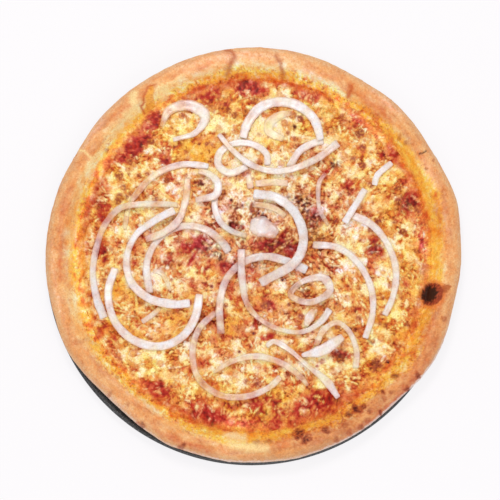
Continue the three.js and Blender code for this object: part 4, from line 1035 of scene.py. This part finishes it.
    def paint(self):
        """The colour of sauce, cheese, oil and toasting together."""
        thick = self.thick
        place = GXY + 1.6 * np.stack([noise(GXY, 3.4, 111), noise(GXY, 3.4, 112)], axis=-1)
        colour = mix(ramp(thick, MELT_TONES), ramp(thick, SAUCE_TONES), smooth(1.6 * self.bare))
        middle = smooth((thick - 0.15) / 0.2) * smooth((0.85 - thick) / 0.3)
        blush = smooth(0.45 + 1.5 * noise(GXY, 5.5, 91) + 0.5 * self.cloud)
        colour = mix(colour, MELT_SALMON, 0.3 * blush * middle)
        oil = np.clip(1.0 * self.oily + 0.55 * smooth(0.2 + 1.4 * self.cloud) * (1 - self.pale), 0, 1)
        colour = mix(colour, OIL_YELLOW, 0.62 * oil * smooth((thick - 0.2) / 0.25))
        colour = mix(colour, TOAST_GOLD, 0.8 * self.gold)
        colour = mix(colour, TOAST_BROWN, 0.85 * self.ring)
        colour = mix(colour, TOAST_RED, 0.8 * smooth(2 * self.char))
        colour = mix(colour, TOAST_DARK, 0.95 * self.char**2)
        mottle = smooth(0.5 + 1.7 * noise(GXY, 2.4, 98) + 0.7 * self.grain)
        colour = mix(colour, CHARRED_TONE, 0.9 * smooth(1.1 * patches(CHARRED, place)) * mottle)
        pepper = noise(GXY, 1.9, 93) + 0.45 * noise(GXY, 6, 96) + 0.66 * patches(PEPPERED, GXY)
        thin = smooth((0.85 - thick) / 0.5)
        speck = 0.9 * smooth((pepper - 0.64 + 0.2 * thin) / 0.22) * (1 - 0.5 * smooth(1.6 * self.bare))
        colour = mix(colour, colour * mix(SPECK_GOLD, SPECK_DARK, thin), speck)
        colour = self.warmed(colour)
        colour = mix(colour, SAUCE_BLACK, 0.7 * patches(DEEP_SAUCE, GXY) * smooth(0.55 + 1.1 * self.grain))
        ragged = 3.5 * noise(GXY, 10, 94) + 1.6 * noise(GXY, 3.2, 95)
        outer = smooth((self.radius - 126 - ragged) / 6) * (1 - 0.85 * smooth(1.6 * self.bare))
        colour = edge_shaded(mix(colour, oil_tone(GXY), outer), GXY)
        self.colour = burn_bubble(colour, GX, GY, noise(GXY, 1.9, 97))
        self.soft_colour = blurred(self.colour, 4)

    def warmed(self, colour):
        """Makes some places more golden and others rosier, by their blue."""
        rosy = 1.1 * patches(ROSY, GXY) - 0.5 - 0.3 * smooth((self.radius - 85) / 30)
        for size, strength, seed in ((22, 0.42, 101), (9, 0.44, 102), (4.4, 0.38, 103), (2.2, 0.26, 104)):
            rosy += strength * noise(GXY, size, seed) / 0.6
        rosy -= 0.7 * smooth((self.thick - 0.7) / 0.2) * patches(ROSY, GXY)
        colour = colour.copy()
        colour[..., 2] *= np.exp(0.42 * rosy)
        return colour

    def bed(self, strip):
        """Lets the cheese rise or sink to carry a strip."""
        for (x, y), level, half in zip(strip["path"], strip["low"], strip["half"]):
            reach = half + 2.0
            part, dx, dy = self.window(x, y, reach)
            share = smooth((reach - np.hypot(dx, dy)) / 2.0)
            near = share > self.bed_share[part]
            self.bed_share[part] = np.where(near, share, self.bed_share[part])
            self.bed_level[part] = np.where(near, level, self.bed_level[part])

    def cheese_top(self, x, y):
        thick = read_raster(self.thick, x, y)
        lumps = 0.75 * read_raster(self.dome, x, y) + 0.55 * read_raster(self.blister, x, y)
        lumps += 0.16 * read_raster(self.grain, x, y) + 0.45 * broad_lumps(x, y)
        body = SAUCE_TOP - 0.7 + 3.5 * smooth((thick - 0.08) / 0.85) + lumps * smooth((thick - 0.1) / 0.3)
        lift = np.clip(read_raster(self.bed_level, x, y) + 0.3 - body, -1.0, 1.8)
        body = body + lift * read_raster(self.bed_share, x, y)
        angle = np.degrees(np.arctan2(y, x))
        fade = smooth((cheese_edge(angle) - np.hypot(x, y)) / 3.5)
        return SAUCE_TOP - 0.6 + (body - SAUCE_TOP + 0.6) * fade

    def sauce_top(self, x, y):
        thick = read_raster(self.thick, x, y)
        pulp = 0.3 * read_raster(self.melt, x, y) + 0.22 * read_raster(self.grain, x, y)
        film = 0.9 * smooth((thick - 0.4) / 0.4) * smooth((np.hypot(x, y) - 112) / 8)
        return SAUCE_TOP + 0.05 + pulp + film * (0.4 + read_raster(self.dome, x, y))


def cheese_edge(angle):
    """How far the cheese reaches along each direction."""
    return CHEESE_RADIUS + 0.7 * lobes(CHEESE_EDGE, angle) + 2.0


def sauce_edge(angle):
    """How far the sauce runs along each direction."""
    turn = np.radians(angle)
    around = np.stack([np.cos(turn), np.sin(turn)], axis=-1) * SAUCE_RADIUS
    ragged = 1.6 * noise(around, 12, 71) + 0.8 * noise(around, 4, 72)
    return SAUCE_RADIUS - 1.0 + ragged


def heights_on(piece, x, y):
    """Height in mm of a piece's top under each place, or a very low one where it isn't there."""
    mesh = piece.data
    tree = BVHTree.FromPolygons([v.co for v in mesh.vertices], [tuple(p.vertices) for p in mesh.polygons])
    found = np.full(len(x), -100.0)
    for i, (px, py) in enumerate(zip((x + PIZZA_CENTRE[0]) * MM, (y + PIZZA_CENTRE[1]) * MM)):
        hit = tree.ray_cast(Vector((px, py, 1.0)), Vector((0, 0, -1)))[0]
        if hit:
            found[i] = hit.z / MM
    return found


def add_layer(name, disc, toppings, material, node):
    """A closed disc of sauce or cheese, coloured from the raster on top."""
    points, faces, tops = disc
    colours = np.zeros((len(points), 3)) + OIL_ORANGE
    colours[:tops] = read_raster(toppings.colour, points[:tops, 0], points[:tops, 1])
    make_piece(name, points, faces, material, [node], colours)


def add_sauce(toppings, crust):
    def top_at(x, y):
        radius = np.hypot(x, y)
        height = toppings.sauce_top(x, y)
        near = radius > BASE_RADIUS - 6
        cover = smooth((sauce_edge(np.degrees(np.arctan2(y, x))) - radius) / 3.0)
        slope = heights_on(crust, x[near], y[near]) - 0.05 + 0.3 * cover[near]
        height[near] = np.where(radius[near] > BASE_RADIUS, slope, np.maximum(height[near], slope))
        return height

    material = tinted_material("tomato_sauce", 1.2, 0.25, (0.3, 0.5), 0.12, 0.05, (1, 0.2, 0.1), 0.12)
    disc = closed_disc(SAUCE_RINGS, sauce_edge, top_at, SAUCE_BOTTOM)
    add_layer("sauce_pulp", disc, toppings, material, "sauce")


def add_cheese(toppings):
    material = tinted_material("melted_cheese", 1.1, 0.22, (0.3, 0.5), 0.12, 0.08, (1, 0.6, 0.25), 0.15)
    disc = closed_disc(CHEESE_RINGS, cheese_edge, toppings.cheese_top, SAUCE_TOP - 0.8)
    add_layer("cheese_melted", disc, toppings, material, "cheese")


# The onion strips, as in the part's source: node, path and widths in mm, then the flesh and how much of
# the toppings shows through it at the start, the middle and the end
ONION_SHADE = screen(226, 196, 184)
ONION_FLESH = {
    "white": screen(244, 239, 241), "grey": screen(234, 230, 231), "peach": screen(250, 222, 202),
    "butter": screen(240, 216, 168), "ash": screen(229, 225, 228),
}
ONIONS = [
    ("onion_sunk_crescent", [(28, 105), (19.5, 103.5), (12, 98), (11, 91.5), (22, 85.5)],
     [4.5, 8, 5], "peach", (0.8, 0.75, 0.66)),
    ("onion_pale_chunk", [(-3, 21.5), (5, 20), (11, 17.5), (17, 14)],
     [9, 15, 14, 7], "ash", (0.32, 0.28, 0.6)),
    ("onion_sunk_bar", [(1, 52), (13, 53), (25, 52.5)], [5], "peach", (0.35, 0.75, 0.5)),
    ("onion_sunk_stub", [(-4, 60), (-3.5, 54), (-2.5, 48.5)], [4.5], "peach", (0.95, 0.95, 0.35)),
    ("onion_under_arc", [(-1.5, 36.5), (8.5, 35.5), (17, 32.5), (23, 27.5)],
     [4.5], "butter", (0.75, 0.68, 0.5)),
    ("onion_right_thread", [(53, 60), (48.5, 53), (47.5, 43.5), (49, 32), (55, 21)],
     [3.4], "grey", (0.65, 0.55, 0.85)),
    ("onion_left_hook", [(-75, -13), (-69, -14.5), (-65, -20.5), (-62, -28)],
     [3.4], "white", (0.6, 0.98, 0.98)),
    ("onion_pink_sliver", [(-69.5, -40.5), (-75.5, -46), (-83, -51)], [3.8], "white", (0.7, 0.55, 0.45)),
    ("onion_upper_left_arc", [(-34, 65), (-53, 66.5), (-70.5, 60.5), (-83.5, 49.5), (-93, 34.5), (-96, 18)],
     [5, 5, 4.6, 3.4], "white", (0.1, 0.92, 0.8)),
    ("onion_bottom_ring",
     [(-28.5, -44), (-41, -56.5), (-45.5, -75), (-40.5, -93.5), (-25, -105), (-5.5, -106), (11.5, -99),
      (19.5, -91.5)], [4.8], "white", (0.62, 0.85, 0.57)),
    ("onion_bottom_arch", [(-30, -88.5), (-15.5, -80), (2.5, -76.5), (21, -82), (34.5, -92), (39.5, -98)],
     [2.6, 4.2, 4.8, 4.6, 3.6], "white", (0.8, 0.5, 1.0)),
    ("onion_centre_left_arc",
     [(-77.5, -29.5), (-79.5, -7), (-71, 10.5), (-54.5, 20), (-37, 18), (-23.5, 8), (-19, 1)],
     [6, 5, 5.4, 6.2], "grey", (0.33, 0.45, 0.5)),
    ("onion_far_left_arc",
     [(-57, 36), (-80, 36.5), (-100, 33), (-111, 21), (-117, 4), (-119.5, -14), (-116.5, -33.5),
      (-111, -48)], [4.5, 4.8, 4.8, 6.4], "grey", (0.58, 0.72, 0.08)),
    ("onion_centre_hook", [(-29.5, 42), (-29, 33), (-24.5, 22.5), (-15.5, 16), (-5.5, 13)],
     [5.4, 4.6, 3.8], "grey", (0.2, 0.22, 0.6)),
    ("onion_small_hook", [(-41.5, 61), (-34, 59), (-27, 52), (-28.5, 43.5), (-43.5, 39.5)],
     [4.4, 6.2, 4.4], "white", (0.66, 0.16, 0.5)),
    ("onion_small_ring",
     [(-5, 65), (-18.5, 60), (-26.5, 66), (-25.5, 75), (-15.5, 82), (-2.5, 82), (9, 74.5), (10, 66)],
     [5, 5.8, 5, 4.8], "white", (0.38, 0.2, 0.2)),
    ("onion_cross_stick", [(51.5, 84.5), (42, 81.5), (33.5, 76), (26, 63.5)],
     [5.4], "white", (0.27, 0.24, 0.36)),
    ("onion_top_ring",
     [(-8.5, 86), (-5, 97), (4.5, 109), (18, 113.5), (32, 111), (44.5, 100.5), (49.5, 84.5)],
     [6.6, 7.8, 7.6, 6], "white", (0.22, 0.22, 0.14)),
    ("onion_upper_arc", [(-26.5, 89), (-16, 76.5), (-0.5, 65), (21, 61), (44, 69), (62.5, 82.5)],
     [3.8, 4.6, 5, 6], "white", (0.36, 0.22, 0.5)),
    ("onion_pink_arc", [(-49.5, 56.5), (-51, 39), (-56.5, 24), (-67.5, 15), (-80.5, 10)],
     [5.4], "white", (0.7, 0.38, 0.66)),
    ("onion_left_arc",
     [(-59, 31.5), (-74, 24), (-88, 13), (-94.5, -4), (-91, -21.5), (-77.5, -34), (-58.5, -38),
      (-47.5, -37)], [6, 4.8, 6.2, 6.6], "white", (0.14, 0.42, 0.05)),
    ("onion_lower_left_arc",
     [(-103, -11), (-108, -29), (-103, -50.5), (-89, -64.5), (-69, -69), (-52.5, -61.5), (-43.5, -47.5),
      (-40.5, -30.5)], [5.6, 6.2, 6.2], "white", (0.22, 0.22, 0.18)),
    ("onion_centre_arc",
     [(-24.5, -60), (-25.5, -38), (-20, -18.5), (-6.5, -6), (10.5, -2.5), (30, -8.5), (39, -12.5)],
     [5.8, 5.4, 6.6], "grey", (0.58, 0.58, 0.14)),
    ("onion_lower_right_loop", [(45.5, -69), (51, -57.5), (61, -51.5), (70, -58), (75.5, -72), (75, -85)],
     [5, 3.8, 4.8], "white", (0.75, 0.45, 0.52)),
    ("onion_long_curl",
     [(-9.5, 2.5), (-9, -19), (-4, -40), (12, -54), (34.5, -58.5), (49, -51), (56, -41.5)],
     [6, 5, 3.6, 3.6, 5.6], "grey", (0.34, 0.86, 0.32)),
    ("onion_right_centre_arc",
     [(-0.5, 44), (16, 41.5), (30.5, 29.5), (36.5, 10.5), (30.5, -6.5), (4.5, -22)],
     [7], "grey", (0.03, 0.1, 0.25)),
    ("onion_right_outer_arc",
     [(73, 28.5), (88, 20.5), (99.5, 5.5), (105, -13), (102.5, -32.5), (96.5, -46)],
     [6, 5.2, 4.8], "white", (0.32, 0.4, 0.33)),
    ("onion_right_stick", [(82.5, 48), (75, 35.5), (67, 22.5)], [5.2], "white", (0.3, 0.12, 0.1)),
    ("onion_far_right_stick", [(102.5, 68), (91.5, 58), (89.5, 51)], [4.8], "white", (0.15, 0.1, 0.1)),
    ("onion_right_inner_arc", [(43.5, 6.5), (62.5, 4), (77.5, -8), (86.5, -26), (87.5, -45), (82, -63)],
     [5.4, 5, 4.8], "white", (0.36, 0.27, 0.3)),
    ("onion_pink_loop", [(35, -21.5), (51.5, -18.5), (56, -28), (41, -36.5), (27, -31)],
     [4.4, 6.4, 5, 4.6], "white", (0.36, 0.46, 0.85)),
    ("onion_leaf", [(44, -42), (41, -47.5), (38, -54)], [4, 7, 4], "white", (0.6, 0.32, 0.62)),
    ("onion_lens", [(35, -76), (50.5, -72), (65.5, -62)], [3, 8, 8.4, 5], "white", (0.3, 0.1, 0.45)),
    ("onion_wavy_strip", [(9, -69), (14.5, -65.5), (25.5, -71.5), (39, -83.5), (53, -94.5), (62, -107)],
     [3.8, 4.6, 3.2, 3.4, 6.6, 3.8], "white", (0.33, 0.8, 0.33)),
    ("onion_teardrop", [(-69, 95), (-63.5, 107), (-48.5, 111), (-36.5, 103), (-43.5, 90.5), (-60.5, 85)],
     [3.8, 8, 8.8, 4.6, 3.2], "white", (0.72, 0.28, 0.3)),
]
CLOSED_STRIPS = ("onion_pink_loop",)
# Points round a strip, and how far a clear end takes to fade, in mm
RIBBON_CORNERS = 22
FADE_LENGTH = 7.0


def spline_through(knots, closed, spacing):
    """Evenly spaced points on a centripetal Catmull-Rom curve through the knots, and its length."""
    k = np.array(knots, float)
    if closed:
        padded = np.concatenate([k[-1:], k, k[:2]])
    else:
        padded = np.concatenate([[2 * k[0] - k[1]], k, [2 * k[-1] - k[-2]]])
    dense = []
    for a, b, c, d in zip(padded[:-3], padded[1:-2], padded[2:-1], padded[3:]):
        t0 = 0.0
        t1 = t0 + np.linalg.norm(b - a) ** 0.5
        t2 = t1 + np.linalg.norm(c - b) ** 0.5
        t3 = t2 + np.linalg.norm(d - c) ** 0.5
        t = np.linspace(t1, t2, 40, endpoint=False)[:, None]
        ab = (t1 - t) / (t1 - t0) * a + (t - t0) / (t1 - t0) * b
        bc = (t2 - t) / (t2 - t1) * b + (t - t1) / (t2 - t1) * c
        cd = (t3 - t) / (t3 - t2) * c + (t - t2) / (t3 - t2) * d
        abc = (t2 - t) / (t2 - t0) * ab + (t - t0) / (t2 - t0) * bc
        bcd = (t3 - t) / (t3 - t1) * bc + (t - t1) / (t3 - t1) * cd
        dense.append((t2 - t) / (t2 - t1) * abc + (t - t1) / (t2 - t1) * bcd)
    line = np.concatenate(dense + [padded[-2:-1]])
    travelled = np.concatenate([[0], np.cumsum(np.linalg.norm(np.diff(line, axis=0), axis=1))])
    count = max(8, int(travelled[-1] / spacing))
    wanted = np.linspace(0, travelled[-1], count, endpoint=not closed)
    return np.stack([np.interp(wanted, travelled, line[:, i]) for i in (0, 1)], axis=1), travelled[-1]


def strip_levels(node, path):
    """Heights of the node's underside and top along a path over it, in mm."""
    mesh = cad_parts[node].data
    tree = BVHTree.FromPolygons([v.co for v in mesh.vertices], [tuple(p.vertices) for p in mesh.polygons])
    levels = []
    for x, y in path + PIZZA_CENTRE[:2]:
        top = tree.ray_cast(Vector((x * MM, y * MM, 1.0)), Vector((0, 0, -1)))[0]
        low = tree.ray_cast(Vector((x * MM, y * MM, -1.0)), Vector((0, 0, 1)))[0]
        levels.append((low.z / MM, top.z / MM) if top and low else (np.nan, np.nan))
    levels = np.array(levels)
    known = ~np.isnan(levels[:, 0])
    index = np.arange(len(levels))
    return [np.interp(index, index[known], levels[known, i]) for i in (0, 1)]


def eased(values, closed, width=5):
    """A running mean over a few neighbours."""
    pad = np.pad(values, width, mode="wrap" if closed else "edge")
    kernel = np.ones(2 * width + 1) / (2 * width + 1)
    return np.convolve(pad, kernel, mode="valid")


def lay_strip(number):
    """The line, width and heights of one onion strip."""
    node, knots, widths, flesh, clear = ONIONS[number]
    closed = node in CLOSED_STRIPS
    path, length = spline_through(knots, closed, 1.0)
    count = len(path)
    share = np.arange(count) / (count if closed else count - 1)
    low, top = strip_levels(node, path)
    low, top = eased(low, closed), eased(top, closed)
    if closed:
        ahead = np.roll(path, -1, axis=0) - np.roll(path, 1, axis=0)
        table = list(widths) + [widths[0]]
    else:
        ahead = np.gradient(path, axis=0)
        table = widths if len(widths) > 1 else widths * 2
    ahead /= np.linalg.norm(ahead, axis=1, keepdims=True)
    along = np.stack([share * length, np.full(count, 50.0 * number)], axis=1)
    half = 0.5 * np.interp(share, np.linspace(0, 1, len(table)), table)
    half = half * (1 + 0.09 * noise(along, 9, 81) + 0.06 * noise(along, 3, 82))
    half = half * (1 + 0.16 * smooth(half / 2 - 1.8) * noise(along, 3.4, 88))
    fading = np.zeros(count)
    if not closed:
        start, end = (smooth((clear[i] - 0.45) / 0.5) for i in (0, 2))
        fading = start * smooth(1 - share * length / FADE_LENGTH)
        fading = fading + end * smooth(1 - (1 - share) * length / FADE_LENGTH)
    return {
        "node": node, "flesh": flesh, "clear": clear, "closed": closed, "path": path, "length": length,
        "share": share, "low": low, "top": top, "half": half, "along": along, "fading": fading,
        "side": np.stack([ahead[:, 1], -ahead[:, 0]], axis=1),
    }


def strip_skin(strip):
    """Points of the ribbon, row by row along it, with how far across and how far up each lies."""
    along, closed = strip["along"], strip["closed"]
    ends = np.ones(len(along))
    if not closed:
        tip = np.minimum(strip["share"], 1 - strip["share"]) * strip["length"]
        ends = (0.84 + 0.16 * np.sqrt(np.clip(tip / 1.0, 0, 1))) * (1 - 0.35 * strip["fading"])
    turn = 2 * math.pi * (np.arange(RIBBON_CORNERS) + 0.5) / RIBBON_CORNERS
    across = np.sign(np.cos(turn)) * np.abs(np.cos(turn)) ** 0.5
    up = 0.5 + 0.5 * np.sign(np.sin(turn)) * np.abs(np.sin(turn)) ** 0.6
    is_top = up > 0.5
    hollow = 0.16 * np.exp(-(((across - 0.2) / 0.42) ** 2)) * is_top
    thick = (strip["top"] - strip["low"] - 0.15) * (1 + 0.08 * noise(along, 11, 83)) * (0.5 + 0.5 * ends)
    offset = (strip["half"] * ends)[:, None] * across
    lean = 0.2 * noise(along, 24, 84) + 0.1
    rise = strip["low"][:, None] + thick[:, None] * (up - hollow) + lean[:, None] * offset * 0.4
    fibre = np.stack([along[:, :1] / 11 + 0 * across, across + 7.0 * along[:, 1:]], axis=-1)
    rise = rise + 0.16 * noise(fibre, 0.3, 85) * is_top
    x = strip["path"][:, :1] + strip["side"][:, :1] * offset
    y = strip["path"][:, 1:] + strip["side"][:, 1:] * offset
    broad = smooth(strip["half"] / 2 - 1.8)[:, None]
    rise = rise + 0.35 * broad * rough_noise(np.stack([x, y], axis=-1), 3.6, 89) * is_top
    return np.stack([x, y, rise], axis=-1), fibre, across, up


def strip_tint(strip, skin, fibre, across, up, toppings):
    """Pale flesh through which the toppings below show, more so at the thin edges, with painted shade on its
    lower sides.
    """
    x, y = skin[..., 0], skin[..., 1]
    place = np.stack([x, y], axis=-1)
    soft, sharp = (read_raster(field, x, y) for field in (toppings.soft_colour, toppings.colour))
    below = mix(soft, sharp, 0.45)
    edge = smooth((np.abs(across) - 0.45) / 0.5)
    cloud = noise(place, 7, 87)
    vein = noise(fibre, 0.34, 86)
    see = np.interp(strip["share"], [0.15, 0.5, 0.85], strip["clear"])[:, None]
    broad = smooth(strip["half"] / 2 - 1.8)[:, None]
    see = see + 0.2 * edge + 0.3 * cloud + 0.12 * vein + 0.7 * strip["fading"][:, None]
    see = see + broad * (0.35 * rough_noise(place, 3.4, 90) + 0.3 * edge)
    tint = mix(ONION_FLESH[strip["flesh"]], 0.9 * below, np.clip(see, 0.0, 0.92))
    tint = mix(tint, ONION_SHADE, np.clip(0.35 * edge + 0.3 * vein, 0, 1))
    # Painted shade: the lower sides take a darker, browner copy of the toppings below, for the contact shadow
    # along the strip.
    shaded_low_side = smooth(1 - 2.0 * up + 0 * x)
    return mix(tint, below * [0.86, 0.62, 0.5], 0.45 * shaded_low_side)


def add_onion(strip, toppings, material):
    skin, fibre, across, up = strip_skin(strip)
    tint = strip_tint(strip, skin, fibre, across, up, toppings)
    count, corners = skin.shape[:2]
    closed = strip["closed"]
    ring, corner = np.divmod(np.arange((count if closed else count - 1) * corners), corners)
    beyond, after = (ring + 1) % count, (corner + 1) % corners
    walls = [ring * corners + corner, ring * corners + after, beyond * corners + after,
             beyond * corners + corner]
    faces = np.stack(walls, axis=1).tolist()
    if not closed:
        faces.append(tuple(range(corners - 1, -1, -1)))
        faces.append(tuple(range((count - 1) * corners, count * corners)))
    name = strip["node"] + "_flesh"
    make_piece(name, skin.reshape(-1, 3), faces, material, [strip["node"]], tint.reshape(-1, 3))


def onion_material():
    material, tree, shader = new_material("onion_flesh")
    tint = shader_node(tree, "ShaderNodeAttribute", attribute_name="tint")
    cloud = noise_node(tree, 1.4, detail=3.0)
    shade = ramp_node(tree, cloud.outputs[0], [(0.3, 0.93), (0.7, 1.05)])
    colour = blend_node(tree, "MULTIPLY", tint.outputs["Color"], shade.outputs[0])
    tree.links.new(colour, shader.inputs["Base Color"])
    wet = ramp_node(tree, cloud.outputs[0], [(0.35, 0.2), (0.65, 0.4)])
    tree.links.new(wet.outputs[0], shader.inputs["Roughness"])
    shader.inputs["Subsurface Weight"].default_value = 0.3
    shader.inputs["Subsurface Radius"].default_value = (1.0, 0.75, 0.6)
    shader.inputs["Subsurface Scale"].default_value = 1.6 * MM
    bump_node(tree, shader, cloud.outputs[0], 0.08)
    return material


def add_flecks(toppings):
    rng = np.random.default_rng(77)
    points, faces, colours = [], [], []
    sides = 7
    herb, char = screen(96, 52, 36), screen(84, 30, 28)
    for x, y, size in CHAR_FLECKS:
        turn = 2 * math.pi * np.arange(sides) / sides + rng.random() * 6
        radius = size * (0.3 + 0.5 * rng.random(sides))
        lie, stretch = 6.3 * rng.random(), 0.3 + 0.5 * rng.random()
        long, wide = radius * np.cos(turn), radius * stretch * np.sin(turn)
        px = x + long * math.cos(lie) - wide * math.sin(lie)
        py = y + long * math.sin(lie) + wide * math.cos(lie)
        top = toppings.cheese_top(np.append(px, x), np.append(py, y))
        level = np.maximum(top, SAUCE_TOP)
        start = len(points)
        for corner in range(sides):
            points.append([px[corner], py[corner], level[corner] + 0.02])
        for corner in range(sides):
            points.append([px[corner], py[corner], level[corner] - 0.25])
        points.append([x, y, level[-1] + 0.25])
        points.append([x, y, level[-1] - 0.3])
        for corner in range(sides):
            after = (corner + 1) % sides
            a, b = start + corner, start + after
            c, d = start + sides + after, start + sides + corner
            faces.extend([(a, d, c, b), (a, b, start + 2 * sides), (d, start + 2 * sides + 1, c)])
        tone = mix(herb, char, rng.random())
        colours.extend([tone] * (2 * sides + 2))
    material = tinted_material("herbs_and_char", 0.5, 0.2, (0.5, 0.7), 0.1)
    make_piece("herb_flecks", np.array(points), faces, material, (), np.array(colours))


# Floor, light and camera
def add_floor():
    mesh = bpy.data.meshes.new("floor")
    half = 3.0
    corners = [(-half, -half, 0), (half, -half, 0), (half, half, 0), (-half, half, 0)]
    mesh.from_pydata(corners, [], [(0, 1, 2, 3)])
    material, _, shader = new_material("white_floor")
    shader.inputs["Base Color"].default_value = (0.16, 0.155, 0.16, 1)
    shader.inputs["Emission Color"].default_value = (1, 0.985, 1, 1)
    shader.inputs["Emission Strength"].default_value = 0.82
    shader.inputs["Roughness"].default_value = 0.9
    shader.inputs["Specular IOR Level"].default_value = 0.1
    mesh.materials.append(material)
    floor = bpy.data.objects.new("floor", mesh)
    bpy.context.scene.collection.objects.link(floor)


def add_lamp(name, place, size, watts):
    lamp = bpy.data.lights.new(name, "AREA")
    lamp.shape = "DISK"
    lamp.size = size
    lamp.energy = watts
    holder = bpy.data.objects.new(name, lamp)
    holder.location = place
    aim = Vector((0, 0, 0.01)) - holder.location
    holder.rotation_mode = "QUATERNION"
    holder.rotation_quaternion = aim.to_track_quat("-Z", "Y")
    bpy.context.scene.collection.objects.link(holder)


def add_light():
    world = bpy.data.worlds.new("white_room")
    world.use_nodes = True
    world.node_tree.nodes["Background"].inputs["Color"].default_value = (1, 0.985, 0.98, 1)
    world.node_tree.nodes["Background"].inputs["Strength"].default_value = 0.61
    bpy.context.scene.world = world
    add_lamp("window", (-0.1, 0.5, 1.13), 0.3, 5.0)
    add_lamp("fill", (0.1, -0.7, 1.0), 0.9, 2.9)


LENS_MM = 180.0
SENSOR_MM = 36.0
FRAME_WIDTH_MM = 371.0  # what the photo's frame spans at the crust's height
TILT_FROM_ABOVE = 6.0
AIM_FROM_PIZZA = (-3.1, 2.6, 16.0)  # the photo's middle, from the pizza's centre


def add_camera():
    lens = bpy.data.cameras.new("camera")
    lens.lens = LENS_MM
    lens.sensor_width = SENSOR_MM
    camera = bpy.data.objects.new("camera", lens)
    distance = FRAME_WIDTH_MM * LENS_MM / SENSOR_MM * MM
    tilt = math.radians(TILT_FROM_ABOVE)
    back = Vector((0, -math.sin(tilt), math.cos(tilt)))
    aim = Vector((PIZZA_CENTRE + AIM_FROM_PIZZA) * MM)
    camera.location = aim + back * distance
    camera.rotation_mode = "QUATERNION"
    camera.rotation_quaternion = (-back).to_track_quat("-Z", "Y")
    bpy.context.scene.collection.objects.link(camera)
    bpy.context.scene.camera = camera
    bpy.context.scene.view_settings.view_transform = "Standard"


add_camera()
add_floor()
add_light()
add_plate()
crust = add_crust()
fields = Toppings()
strips = [lay_strip(number) for number in range(len(ONIONS))]
for strip in strips:
    fields.bed(strip)
add_sauce(fields, crust)
add_cheese(fields)
flesh = onion_material()
for strip in strips:
    add_onion(strip, fields, flesh)
add_flecks(fields)
